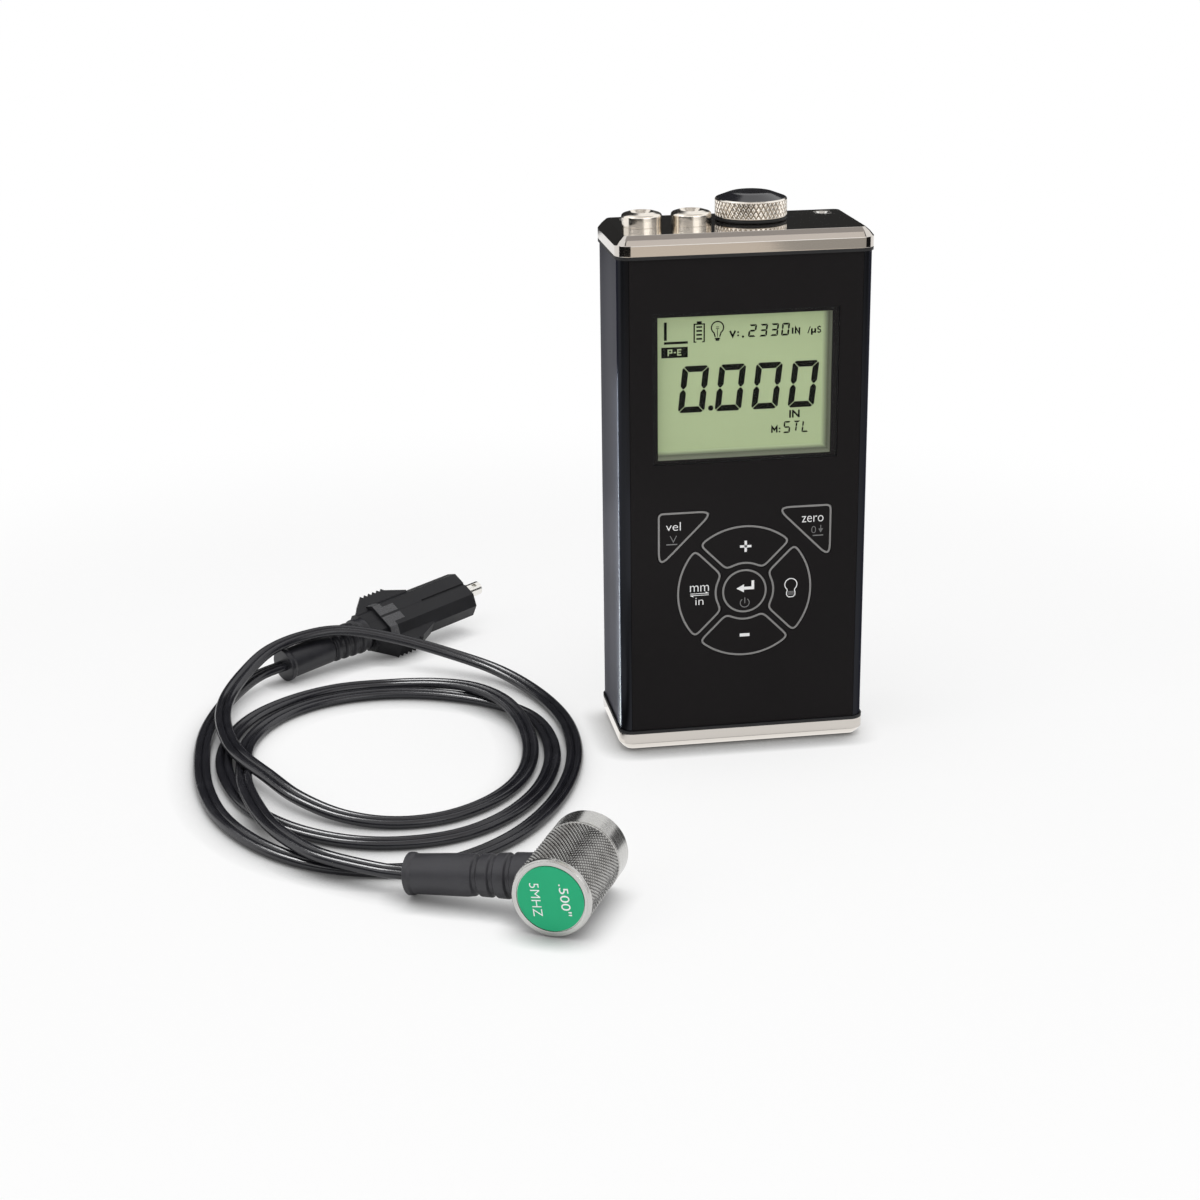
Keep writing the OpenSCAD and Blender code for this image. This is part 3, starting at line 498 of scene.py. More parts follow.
probe = dict(place=(-63, -112), turn=27, radius=9, length=27, bootAt=11, bootLength=37, lipRadius=4.8)
plug = dict(place=(-115, 52), turn=56, roll=30, relief=28, heel=5, wing=10.5, wingHeight=5, tooth=1.5,
            lipRadius=4.6)
lead = dict(
    lobe=1.12, spread=1.06, lobePoints=12, steps=8, leadIn=8, diameter=0.0044, low=1.2,
    turns=[  # height left out where the lead lies on the floor
        (-127, 40.5, 2.9), (-132.5, 29, 1.6), (-136, 13.5), (-137, -4), (-136, -22), (-132, -40), (-124, -56),
        (-113, -68), (-100, -74.5), (-86, -75.5), (-72, -69), (-60, -57), (-50, -39), (-44, -18), (-43, 4),
        (-47, 24, 1.4), (-56, 41, 2.8), (-69, 51, 5.4), (-84, 56.5, 9), (-98, 58, 11.7), (-109, 55.5, 11.6),
        (-118.5, 49.5, 10.2), (-125.5, 40.5, 7.3), (-130, 30, 5.2), (-131.5, 18, 4.4), (-130.5, 5, 3.9),
        (-127.5, -8, 4), (-120.8, -22.5, 3.8), (-114, -35, 3), (-104, -45, 1.8), (-92, -50), (-79, -49), (-67, -41),
        (-58.5, -28), (-54.5, -12, 1.4), (-54.5, 4, 2.4), (-58, 17, 3.7), (-65, 28, 3.7), (-75, 36.5, 2.4),
        (-88, 41), (-101, 40), (-113, 34), (-123, 24), (-129, 11), (-131.5, -4), (-130, -20), (-125, -36),
        (-116, -49), (-104, -58), (-91, -61.5), (-77, -59.5), (-65, -51), (-55.5, -37), (-50, -20), (-49, -3),
        (-52, 11), (-60, 22), (-72, 30), (-86, 34), (-100, 33), (-112, 27), (-120.5, 17), (-125.5, 4),
        (-126.5, -11, 1.5), (-126.4, -25, 3.4), (-124.5, -38, 3.9), (-121, -51, 3.8), (-115.5, -63, 4),
        (-109, -72.5, 4.4),
    ],
)
probeTurn, plugTurn = math.radians(probe["turn"]), math.radians(plug["turn"])
probeWay = np.array([math.sin(probeTurn), math.cos(probeTurn), 0])
probeStart = np.array([*probe["place"], probe["radius"]], float)
bootDrop = math.asin((probe["radius"] - probe["lipRadius"]) / probe["bootLength"])
bootFlat = np.array([-math.cos(probeTurn), math.sin(probeTurn), 0])
bootWay = bootFlat * math.cos(bootDrop) + np.array([0, 0, -math.sin(bootDrop)])
bootRoot = probeStart + probe["bootAt"] * probeWay
bootTip = bootRoot + probe["bootLength"] * bootWay
plugRoll = math.radians(plug["roll"])
wingDrop = plug["wing"] * math.sin(plugRoll) + plug["wingHeight"] / 2 * math.cos(plugRoll)
plugTilt = math.atan((wingDrop - plug["lipRadius"]) / (plug["relief"] + plug["heel"] + plug["tooth"] / 2))
plugFlat = np.array([math.sin(plugTurn), math.cos(plugTurn), 0])
plugWay = plugFlat * math.cos(plugTilt) + np.array([0, 0, math.sin(plugTilt)])  # rests on its lip and one wing
plugStart = np.array([*plug["place"], plug["lipRadius"] * math.cos(plugTilt)], float)


def leadRoute(s):
    # the route's points from the boot's lip to the plug's sleeve
    bootIn = bootTip + s["leadIn"] * bootFlat
    plugIn = plugStart - s["leadIn"] * (plugFlat + np.array([0, 0, math.sin(plugTilt)]))
    turns = np.array([(*p, s["low"])[:3] for p in s["turns"]], float)
    return np.concatenate([[bootTip, bootIn], turns[::-1], [plugIn, plugStart]])


def smoothLine(p, steps):
    # a curve through every point, each span a cubic that leaves along its neighbours' chord
    q = np.concatenate([[2 * p[0] - p[1]], p, [2 * p[-1] - p[-2]]])
    a, b, c, d = q[:-3, None], q[1:-2, None], q[2:-1, None], q[3:, None]
    t = (np.arange(steps) / steps)[None, :, None]
    body = 0.5 * (2 * b + (c - a) * t + (2 * a - 5 * b + 4 * c - d) * t**2 + (3 * b - a - 3 * c + d) * t**3)
    return np.concatenate([body.reshape(-1, 3), p[-1:]])


def makeLead(s):
    # two round lobes side by side with a web between them, kept level along the route
    line = smoothLine(leadRoute(s), s["steps"])
    way = unit(np.gradient(line, axis=0))
    level = unit(np.stack([way[:, 1], -way[:, 0], np.zeros(len(way))], 1))
    up = np.cross(level, way)
    reach = math.acos(-s["spread"] / s["lobe"])
    t = np.linspace(-reach, reach, s["lobePoints"], endpoint=False)
    x = np.concatenate([s["spread"] + s["lobe"] * np.cos(t), -s["spread"] - s["lobe"] * np.cos(t)])
    z = np.concatenate([s["lobe"] * np.sin(t), -s["lobe"] * np.sin(t)])
    grid = line[:, None] + x[None, :, None] * level[:, None] + z[None, :, None] * up[:, None]
    points, faces = gridPart(grid, wrapV=True)
    n, last = len(x), (len(line) - 1) * len(x)
    faces += [tuple(range(n)), tuple(range(last + n - 1, last - 1, -1))]
    piece = place("twin_lead", (points, faces), cordJacket, "cord_jacket", sharp=60, stands=["probe_cord"])
    length = float(np.linalg.norm(np.diff(line, axis=0), axis=1).sum())
    return piece, line * mm, round(length * mm, 3)


leadPiece, leadLine, leadLength = makeLead(lead)
print("lead laid:", leadLength, "m")


# ---- end caps


cap = dict(w=63.5, d=31.5, r=3.6, tight=0.4, band=2.6, bevel=2.2, crown=0.09, edge=0.16, height=131.3,
           lap=0.25, flat=1.0, foot=0.06, ridge=0.25, wellCount=72, chamfer=0.2,
           ports=[(-24.5, 9.2), (24.5, 9.2)], dish=2.45, dishDeep=1.0,
           well=(5.0, 3.8), wellRadius=7.95, collar=9.3, collarDeep=7.0)


def makeCap(name, s, level, up, well, stands):
    # a rounded rectangle carried up the band and in along the bevel, with small rounded edges,
    # closed by flat faces that are open over the screws and the battery well
    top = s["band"] + s["bevel"]
    half = s["bevel"] / 2
    profile = filleted([(s["lap"], 0), (0, 0.0), (0, s["band"]),
                        (half - s["crown"], s["band"] + half + s["crown"]), (s["bevel"], top),
                        (s["bevel"] + s["flat"], top)], [0, s["foot"], s["edge"], s["ridge"], s["edge"], 0], 3)
    loops = []
    for inset, z in profile:
        loop = roundedLoop(s["w"] - 2 * inset, s["d"] - 2 * inset, max(s["r"] - inset, s["tight"]))
        loops.append(np.column_stack([loop, np.full(len(loop), z)]))
    parts = [gridPart(np.array(loops), wrapV=True)]
    for centre in s["ports"]:
        rings = np.array([ringPart(s["dish"] - k, centre, top - k) for k in np.linspace(0, s["dishDeep"], 4)])
        parts.append(gridPart(rings, wrapV=True))
        parts.append((rings[-1], [tuple(range(len(rings[-1])))]))
    if well:
        rings = [ringPart(r, s["well"], z, s["wellCount"]) for r, z in (
            (s["wellRadius"] + s["chamfer"], top), (s["wellRadius"], top - s["chamfer"]),
            (s["wellRadius"], -s["collarDeep"]), (s["collar"], -s["collarDeep"]), (s["collar"], 0))]
        parts.append(gridPart(np.array(rings), wrapV=True))
    points, faces = joined(parts)
    points[:, 2] = level + up * points[:, 2]
    ends = [level, level + up * top]
    place(name, (points, faces), nickel, "polished_nickel", 28, fillLoops=ends, stands=stands)


screws = dict(head=2.35, shank=1.25, length=14, hex=1.0, mouth=1.7, hexDeep=1.2)


def makeScrews(name, s, level, up, stands):
    # countersunk heads whose six-sided recess opens through a round chamfer
    profile = filleted([(0, -s["hexDeep"]), (s["hex"], -s["hexDeep"]), (s["hex"], s["hex"] - s["mouth"]),
                        (s["mouth"], 0), (s["head"], 0), (s["shank"], s["shank"] - s["head"]),
                        (s["shank"], -s["length"]), (0, -s["length"])],
                       [0, 0, 0.05, 0.05, 0.06, 0.05, 0.1, 0], 3)

    def sixSides(angle, height, r):
        # how far a hexagon's side lies inside the circle through its corners
        flat = math.cos(math.pi / 6) / np.cos(angle % (math.pi / 3) - math.pi / 6)
        return np.where((height < s["hex"] - s["mouth"]) & (r <= s["hex"] + 1e-6), r * (flat - 1), 0)

    part = joined([lathe(profile, axes((*port, level), (0, 0, up)), 72, sixSides)[0] for port in cap["ports"]])
    place(name, part, screwSteel, "screw_steel", 28, stands=stands)


capDeep = cap["band"] + cap["bevel"]
makeCap("cap_top", cap, cap["height"] - capDeep, 1, True, ["top_cap"])
makeCap("cap_foot", cap, capDeep, -1, False, ["bottom_cap"])
makeScrews("screws_top", screws, cap["height"], 1, ["top_cap_screws"])
makeScrews("screws_foot", screws, 0, -1, ["bottom_cap_screws"])
print("caps made")


# ---- sockets and battery cover


socket = dict(x=(-22.9, -10.7), base=131.3, r=4.95, h=3.5, rim=0.9, cone=0.6, bore=2.1, mouth=0.9, depth=8.0,
              lap=0.6, count=96)


def makeSocket(name, x, s, stands):
    # collar with a rolled rim, a coned top, a chamfered mouth and a blind bore
    r, h, b = s["r"], s["h"], s["bore"]
    profile = filleted([(r - s["lap"], 0), (r, 0.0), (r, h - s["cone"]), (b + s["mouth"], h), (b, h - s["mouth"]),
                        (b, h - s["depth"]), (0, h - s["depth"])],
                       [0, 0.05, s["rim"], 0.15, 0.1, 0.05, 0], 6)
    turnPiece(name, profile, axes((x, 0, s["base"]), (0, 0, 1)), s["count"], turnedNickel, "turned_nickel", 40,
              stands=stands)


for label, x in zip(("left", "right"), socket["x"]):
    makeSocket("collar_" + label, x, socket, ["socket_" + label])

cover = dict(centre=(5.0, 3.8), base=132.24, r=8.85, band=4.3, rise=1.7, flat=4.9, crest=3.0, land=0.4,
             pitch=1.265, tall=1.65, depth=0.28, around=44, steps=12, rows=46, low=0.25, high=0.2, fade=0.12,
             spigot=7.9, spigotLow=125.5, recess=5.2, recessDeep=1.6, undercut=0.4,
             threadPitch=1.5, threadDeep=0.34, threadRows=42, domeCount=144)


def makeCover(s):
    # knurled band under a low dome, over a threaded spigot with a recess for the contact
    low = s["spigotLow"] - s["base"]
    knurlLow, knurlHigh = s["low"], s["band"] - s["high"]
    z = np.linspace(knurlLow, knurlHigh, s["rows"])
    band = np.stack([np.full(len(z), s["r"]), z], 1)
    shoulder = [(s["r"] - 0.1, s["band"]), (s["r"] - 0.3, s["band"] + 0.16)]
    dome = filleted([shoulder[1], (s["flat"], s["band"] + s["rise"] * 0.9),
                     (s["crest"], s["band"] + s["rise"] * 0.985), (0, s["band"] + s["rise"])], [0, 6.0, 6.0, 0], 8)
    zt = np.linspace(-0.6, low + 0.4, s["threadRows"])
    groove = s["threadDeep"] * np.abs(((zt - low) / s["threadPitch"]) % 1 - 0.5) * 2
    neck = s["spigot"] - s["undercut"]
    thread = np.stack([s["spigot"] - groove, zt], 1)
    profile = np.concatenate([
        [(0, low + s["recessDeep"]), (s["recess"], low + s["recessDeep"]), (s["recess"], low)],
        [(neck, low)], thread[::-1], [(neck, -0.5), (neck, 0)],
        [(s["r"] - 0.3, 0), (s["r"] - 0.08, 0.08)], band, shoulder])
    bump = knurl(s["r"], s["pitch"], s["tall"], s["depth"], knurlLow, knurlHigh, s["fade"], s["land"])
    spot = axes((*s["centre"], s["base"]), (0, 0, 1))
    turnPiece("knurled_cover", profile, spot, s["around"] * s["steps"], knurledNickel, "knurled_nickel", 24, bump,
              body="cover", stands=["battery_cover"])
    turnPiece("cover_dome", dome, spot, s["domeCount"], domeBlack, "knurled_nickel", 40, body="cover")


makeCover(cover)
print("sockets and cover made")


# ---- display


face = dict(y=-15.35, inner=-13.35, ledge=-14.75, windowW=44.0, windowH=35.4, windowZ=93.8, ink=0.03, shear=0.11,
            paneW=45.8, paneH=37.2, border=0.45, borderThick=0.03, gap=0.02, ease=1.5, shadeTo=-13.4,
            inset=dict(left=0.05, right=2.7, top=0.05, bottom=2.0))
segmentsOf = {"0": "abcdef", "2": "abged", "3": "abgcd", "S": "afgcd", "L": "fed", "T": "amn"}


def onDisplay(u, v):
    # from millimetres right of the window's left edge and below its top edge
    return u - face["windowW"] / 2, face["windowZ"] + face["windowH"] / 2 - v


def segments(mark, u, v, w, h, thick):
    # the lit bars of one display figure, leaning to the right; u and v are its lower left corner
    # the outer corners are cut, and a bar on the right or below mirrors the one on the left or above
    t, half, c = thick, h / 2, 0.42 * thick
    g = 0.05 * thick + 0.04
    across, down = np.array([-1, 1]), np.array([1, -1])
    top = np.array([(c + g, h), (w - c - g, h), (w - c / 2 - g, h - c / 2), (w - t - g, h - t), (t + g, h - t),
                    (c / 2 + g, h - c / 2)])
    side = np.array([(c / 2, h - c / 2 - g), (t, h - t - g), (t, half + t / 2 + g), (t * 0.62, half + g),
                     (t * 0.38, half + g), (0, half + t / 2 + g), (0, h - c - g)])
    bridge = np.array([(g + t / 2, half), (t + g, half + t / 2), (w - t - g, half + t / 2), (w - g - t / 2, half),
                       (w - t - g, half - t / 2), (t + g, half - t / 2)])
    stem = np.array([(w / 2 - t / 2, h - t - 2 * g), (w / 2 + t / 2, h - t - 2 * g), (w / 2 + t / 2, half + g),
                     (w / 2 - t / 2, half + g)])
    shapes = {"a": top, "b": side * across + [w, 0], "c": -side + [w, h], "d": top * down + [0, h],
              "e": side * down + [0, h], "f": side, "g": bridge, "m": stem, "n": stem * down + [0, h]}
    x0, z0 = onDisplay(u, v)
    lean = np.array([[1, 0], [face["shear"], 1]])
    return [slab(shapes[k] @ lean + [x0, z0], face["ink"]) for k in segmentsOf[mark]]


def makeDisplay():
    # marks drawn at u to the right of the window's left edge and v below its top edge
    k = face["ink"]

    def box(u0, v0, u1, v1):
        (x0, z1), (x1, z0) = onDisplay(u0, v0), onDisplay(u1, v1)
        return bar(x0, z0, x1, z1, k)

    def stroke(path, wide=0.46):
        return [ribbon([onDisplay(*p) for p in path], wide, k)]

    def colon(u, v):
        return [box(u, v - 0.4, u + 0.4, v), box(u, v - 1.2, u + 0.4, v - 0.8)]

    def words(text, u, v, w, h, **more):
        return wording(text, *onDisplay(u, v), w, h, k, **more)

    parts = [box(2.05, 1.45, 2.75, 5.9), box(2.05, 6.25, 7.9, 6.85)]  # corner mark
    parts += [box(1.4, 7.6, 7.9, 10.2)]
    parts += [box(9.3, 2.05, 9.64, 6.7), box(11.76, 2.05, 12.1, 6.7), box(9.3, 2.05, 12.1, 2.35)]  # cell outline
    parts += [box(9.3, 6.45, 10.0, 6.7), box(11.4, 6.45, 12.1, 6.7), box(10.1, 1.5, 11.3, 2.1)]
    parts += [box(10.0, v, 11.4, v + 0.42) for v in (2.7, 3.65, 4.6, 5.6)]
    t = np.linspace(-0.30 * math.pi, 1.30 * math.pi, 30)
    bx, bz = onDisplay(15.2, 3.25)
    bulb = np.concatenate([[(bx + 0.55, bz - 2.25)], onCircle(t, 1.5, bx, bz), [(bx - 0.55, bz - 2.25)]])
    parts += [ribbon(bulb, 0.32, k), box(14.55, 5.75, 15.85, 6.1), box(14.75, 6.1, 15.65, 6.5)]
    parts += [box(14.8, 3.0, 15.6, 3.15), box(14.8, 3.4, 15.6, 3.55), box(15.12, 3.6, 15.28, 5.5)]
    parts += stroke([(18.3, 4.2), (18.95, 5.6), (19.6, 4.2)]) + colon(20.1, 5.6)
    parts += [box(33.6, 4.1, 34.02, 5.6)] + stroke([(34.55, 5.6), (34.55, 4.1), (35.5, 5.6), (35.5, 4.1)])
    parts += stroke([(37.6, 5.7), (38.2, 4.0)], 0.25) + stroke([(38.6, 6.1), (38.6, 4.5)])
    parts += stroke([(38.6, 5.2), (38.95, 5.5), (39.4, 5.2)], 0.3) + stroke([(39.45, 4.5), (39.45, 5.65)])
    parts += stroke([(40.8, 4.3), (40.45, 4.08), (40.08, 4.3), (40.15, 4.68), (40.7, 4.95), (40.78, 5.35),
                     (40.4, 5.58), (40.0, 5.35)], 0.32)
    parts += [disc(*onDisplay(21.5, 5.75), 0.28, k)]
    for i, mark in enumerate("2330"):
        parts += segments(mark, 22.7 + 2.73 * i, 5.95, 1.95, 3.1, 0.44)
    for i in range(4):
        parts += segments("0", 5.4 + 9.13 * i, 24.0, 6.6, 11.6, 1.5)
    parts += [disc(*onDisplay(13.6, 23.1), 0.66, k)]
    parts += [words("IN", 34.6, 25.6, 2.65, 1.95, bold=0.03), *colon(30.7, 30.15)]
    parts += stroke([(29.0, 30.15), (29.0, 28.65), (29.6, 29.5), (30.2, 28.65), (30.2, 30.15)])
    for i, mark in enumerate("STL"):
        parts += segments(mark, 31.7 + 2.35 * i, 30.4, 1.75, 3.0, 0.38)
    place("display_marks", onFace(joined(parts), face["inner"]), displayInk, "display_green", 20)
    light = joined([box(4.45, 8.75, 5.0, 9.05)] + stroke([(6.3, 8.25), (5.45, 8.25), (5.45, 9.55), (6.3, 9.55)], 0.3)
                   + stroke([(5.45, 8.9), (6.2, 8.9)], 0.3)
                   + stroke([(3.1, 9.7), (3.1, 8.25), (3.95, 8.25), (3.95, 8.95), (3.1, 8.95)], 0.3))
    light = (light[0] + [0, 0, k], light[1])
    place("display_mode", onFace(light, face["inner"]), displayGreen, "display_green", 20)


def makeDisplayFrame():
    # four sloping walls from the window's edge in to the display, coloured with painted shade
    w, h, z = face["windowW"], face["windowH"], face["windowZ"]
    inset, gap, thick = face["inset"], face["gap"], face["borderThick"]
    t = np.linspace(0, 1, 8)[:, None]
    edge = np.array([(-1, -1), (1, -1), (1, 1), (-1, 1)])
    outer = edge * [w / 2, h / 2] + [0, z]
    inner = outer + np.array([(inset["left"], inset["bottom"]), (-inset["right"], inset["bottom"]),
                              (-inset["right"], -inset["top"]), (inset["left"], -inset["top"])])
    ease = t ** face["ease"]
    rings = outer[None] * (1 - t[..., None]) + inner[None] * t[..., None]
    y = face["ledge"] + gap + (face["inner"] - gap - face["ledge"] - gap) * ease
    grid = np.stack([rings[..., 0], np.broadcast_to(y, rings.shape[:2]), rings[..., 1]], -1)
    place("display_frame", gridPart(grid, wrapV=True), displayEdgeShade, "display_green", 40)
    # black border on the back of the pane
    wide = edge * [face["paneW"] / 2, face["paneH"] / 2] + [0, z]
    narrow = edge * [w / 2 - face["border"], h / 2] + [-face["border"] / 2, z]
    loops = [(wide, 0.0), (wide, thick), (narrow, thick), (narrow, 0.0)]
    grid = np.array([np.stack([p[:, 0], np.full(4, face["ledge"] - lift), p[:, 1]], 1) for p, lift in loops])
    place("pane_border", gridPart(grid, wrapU=True, wrapV=True), overlayFilm, "overlay_film", 20)


def paintedDepthShade(name, near, middle, far, y0, y1):
    # painted shade: colour that changes with depth between two planes, by way of a third colour
    material = finish(name, near, 0.0, 0.45, grain=0.02, grainSize=0.2)
    tree = material.node_tree
    link = tree.links.new
    coords = next(n for n in tree.nodes if n.type == "TEX_COORD")
    split = addNode(tree, "SeparateXYZ")
    spread = addNode(tree, "MapRange", From_Min=y0 * mm, From_Max=y1 * mm)
    ramp = addNode(tree, "ValToRGB")
    ramp.color_ramp.elements[0].color, ramp.color_ramp.elements[1].color = (*near, 1), (*far, 1)
    ramp.color_ramp.elements.new(0.4).color = (*middle, 1)
    link(coords.outputs["Object"], split.inputs["Vector"])
    link(split.outputs["Y"], spread.inputs["Value"])
    link(spread.outputs["Result"], ramp.inputs["Fac"])
    link(ramp.outputs["Color"], tree.nodes["Principled BSDF"].inputs["Base Color"])
    return material


# painted shade on the display frame: dark at the window's edge, darkest partway in, the display's green where it
# meets the display
displayEdgeShade = paintedDepthShade("display_edge_painted_shade", (0.17, 0.19, 0.125), (0.08, 0.093, 0.055),
                         (0.46, 0.555, 0.32), face["ledge"], face["shadeTo"])
makeDisplay()
makeDisplayFrame()
print("display made")


# ---- keys


keys = dict(z=41.4, enter=5.7, inner=7.2, outer=17.2, gap=1.4, leg=14.6, cornerX=22.0, cornerZ=62.9,
            line=0.5, rise=0.06, soft=6.0, acute=1.75, square=1.5, enterCount=120, outerCount=60, innerCount=40)


def keyPath(kind):
    # a key's edge, anticlockwise, about the middle of the key ring
    if kind == "enter":
        return onCircle(np.arange(keys["enterCount"]) * math.tau / keys["enterCount"], keys["enter"])
    if kind in ("velocity", "zero"):
        side = -1 if kind == "velocity" else 1
        c = np.array([side * keys["cornerX"], keys["cornerZ"] - keys["z"]])
        low, far = c - [0, keys["leg"]], c - [side * keys["leg"], 0]
        p = np.array([(low + far) / 2, low, c, far, (low + far) / 2][::side])
        return filleted(p, [0, keys["acute"], keys["square"], keys["acute"], 0], 8)[:-1]
    turn = {"plus": 0, "units": math.pi / 2, "minus": math.pi, "light": -math.pi / 2}[kind]
    half = keys["gap"] / 2
    a = [math.pi / 4 + math.asin(half / r) for r in (keys["outer"], keys["inner"])]
    out = np.linspace(a[0], math.pi - a[0], keys["outerCount"])
    back = np.linspace(math.pi - a[1], a[1], keys["innerCount"])
    p = np.concatenate([onCircle(out, keys["outer"]), onCircle(back, keys["inner"])])
    return softCorners(p @ spin(turn).T, keys["soft"])


def arrowPart(x, z, k):
    # a return arrow: head, shaft and riser
    return [slab([(x - 2.25, z), (x - 0.35, z - 1.05), (x - 0.35, z - 0.37), (x + 2.25, z - 0.37),
                  (x + 2.25, z + 1.95), (x + 1.58, z + 1.95), (x + 1.58, z + 0.37), (x - 0.35, z + 0.37),
                  (x - 0.35, z + 1.05)], k)]


def powerPart(x, z, k):
    # a ring open at the top, with a bar through the opening
    ring = onCircle(np.linspace(0.70 * math.pi, 2.30 * math.pi, 28), 1.15, x, z)
    return [ribbon(ring, 0.21, k), bar(x - 0.105, z - 0.1, x + 0.105, z + 1.4, k)]


def lampPart(x, z, k):
    # a round globe drawn in to a short base with round corners
    globe = onCircle(np.linspace(-0.28 * math.pi, 1.28 * math.pi, 30), 1.56, x, z)
    base = [(x - 0.92, z - 1.62), (x - 1.08, z - 1.95), (x - 1.08, z - 2.75), (x - 0.62, z - 3.28),
            (x + 0.62, z - 3.28), (x + 1.08, z - 2.75), (x + 1.08, z - 1.95), (x + 0.92, z - 1.62)]
    return [ribbon(softCorners(np.concatenate([base, globe]), 0.5, 140), 0.24, k, closed=True)]


def makeKeys():
    # a printed edge along each key's path, and its marks, placed about the middle of the key ring
    k, z0 = keys["rise"], keys["z"]
    white, grey = {}, {}
    mid = (keys["inner"] + keys["outer"]) / 2 - 0.5
    white["enter"] = arrowPart(0.2, 0.7, k)
    grey["enter"] = powerPart(0.1, -3.15, k)
    white["plus"] = [bar(-1.25, mid - 0.31, 1.65, mid + 0.31, k), bar(-0.11, mid - 1.45, 0.51, mid + 1.45, k)]
    white["minus"] = [bar(-1.1, -mid - 0.4, 1.4, -mid + 0.4, k)]
    x = -mid + 0.2
    white["units"] = [wording("mm", x, 1.4, 4.8, 1.6, k, -0.01), wording("in", x, -2.0, 2.05, 1.9, k, -0.01)]
    white["units"] += [bar(x - 2.35, -0.05, x + 2.35, 0.1, k), bar(x - 2.35, -0.5, x + 2.35, -0.35, k)]
    white["units"] += [slab([(x + 2.35, 0.1), (x + 1.5, 0.45), (x + 1.6, 0.1)], k)]
    white["units"] += [slab([(x - 2.35, -0.5), (x - 1.5, -0.85), (x - 1.6, -0.5)], k)]
    white["light"] = lampPart(mid + 0.2, 0.95, k)
    grey["light"] = [bar(mid - 0.6, z, mid + 1.0, z + 0.2, k) for z in (-1.05, -1.4, -1.75)]
    cx, cz = keys["cornerX"], keys["cornerZ"] - z0
    x = -cx + 3.9
    white["velocity"] = [wording("vel", x, cz - 3.6, 3.7, 2.15, k, -0.012)]
    grey["velocity"] = [ribbon([(x - 0.8, cz - 6.0), (x, cz - 7.6), (x + 0.8, cz - 6.0)], 0.2, k),
                        bar(x - 1.75, cz - 8.35, x + 0.95, cz - 8.1, k)]
    x = cx - 4.8
    white["zero"] = [wording("zero", x, cz - 3.65, 5.5, 1.62, k, -0.012)]
    grey["zero"] = [wording("0", x + 0.3, cz - 6.5, 1.15, 1.8, k, -0.02),
                    bar(x + 2.0, cz - 6.9, x + 2.2, cz - 5.4, k),
                    slab([(x + 1.5, cz - 6.3), (x + 2.1, cz - 7.3), (x + 2.7, cz - 6.3)], k),
                    bar(x + 0.1, cz - 8.15, x + 2.75, cz - 7.9, k)]
    for kind in ("enter", "plus", "units", "minus", "light", "velocity", "zero"):
        edge = ribbon(keyPath(kind), keys["line"], k, closed=True, inward=keys["line"] / 2)
        for tag, parts, material in (("rim", [edge], outlinePrint), ("legend", white.get(kind), whitePrint),
                                     ("mark", grey.get(kind), greyPrint)):
            if parts:
                p, f = onFace(joined(parts), face["y"])
                place(kind + "_" + tag, (p + [0, 0, z0], f), material, "key_film", 25, kind + "_key")


makeKeys()
print("keys made")


# ---- probe


barrel = dict(pitch=0.9, tall=1.4, land=0.7, depth=0.3, around=63, rim=0.6, plain=6.6, bore=6.4,
              margin=0.5, rows=124, steps=8, fade=0.15, boreDeep=9,
              labelRadius=7.5, labelSeat=7.7, labelDeep=0.3, printTilt=-83, print=0.03)


def makeBarrel(p, s):
    # turned rim, knurled middle and a plain turned band by the measuring face
    r, n = p["radius"], p["length"]
    low, high = s["rim"] + s["margin"], n - s["plain"] - s["margin"]
    z = np.linspace(low, high, s["rows"])
    middle = np.stack([np.full(len(z), r), z], 1)
    start = filleted([(0, s["labelDeep"]), (s["labelSeat"], s["labelDeep"]), (s["labelSeat"], 0), (r - 0.35, 0),
                      (r - 0.05, s["rim"] * 0.7), (r - 0.05, s["rim"] + 0.35)], [0, 0.03, 0.06, 0.12, 0.12, 0], 3)
    end = filleted([(r - 0.3, n - s["plain"] - 0.35), (r - 0.3, n - s["plain"] - 0.1), (r - 0.03, n - s["plain"]),
                    (r - 0.03, n - 0.5), (r - 0.5, n), (s["bore"], n), (s["bore"], n - s["boreDeep"])],
                   [0, 0, 0.05, 0.1, 0.1, 0.05, 0], 3)
    bump = knurl(r, s["pitch"], s["tall"], s["depth"], low, high, s["fade"], s["land"])
    profile = np.concatenate([start, middle, end])
    turnPiece("knurled_barrel", profile, axes(probeStart, probeWay), s["around"] * s["steps"], probeSteel,
              "probe_steel", 24, bump, stands=["probe_barrel"])


def makeLabel(s):
    # a thin disc in the barrel's end with plain values printed on it
    profile = filleted([(0, 0.0), (s["labelRadius"], 0.0), (s["labelRadius"], s["labelDeep"]), (0, s["labelDeep"])],
                       [0, 0.06, 0, 0], 3)
    turnPiece("end_label", profile, axes(probeStart, probeWay), 72, labelGreen, "green_label", 30,
              stands=["probe_label"])
    k = s["print"]
    p, faces = joined([wording(".500\"", 0.2, 3.3, 7.3, 2.15, k), wording("5MHZ", 0.2, -3.3, 7.7, 2.1, k, -0.008)])
    flat = p[:, :2] @ spin(math.radians(s["printTilt"])).T
    right, up = np.array([probeWay[1], -probeWay[0], 0]), np.array([0, 0, 1.0])
    points = probeStart + flat[:, :1] * right + flat[:, 1:] * up - p[:, 2:] * probeWay
    place("label_print", (points, faces), whitePrint, "green_label", 25)


boot = dict(root=5.2, tip=4.5, lip=4.8, lipLength=1.2, grooveFrom=11.5, grooveStep=4.0, groove=1.6, deep=0.7,
            taper=0.25, seat=7.0, smooth=23.0)


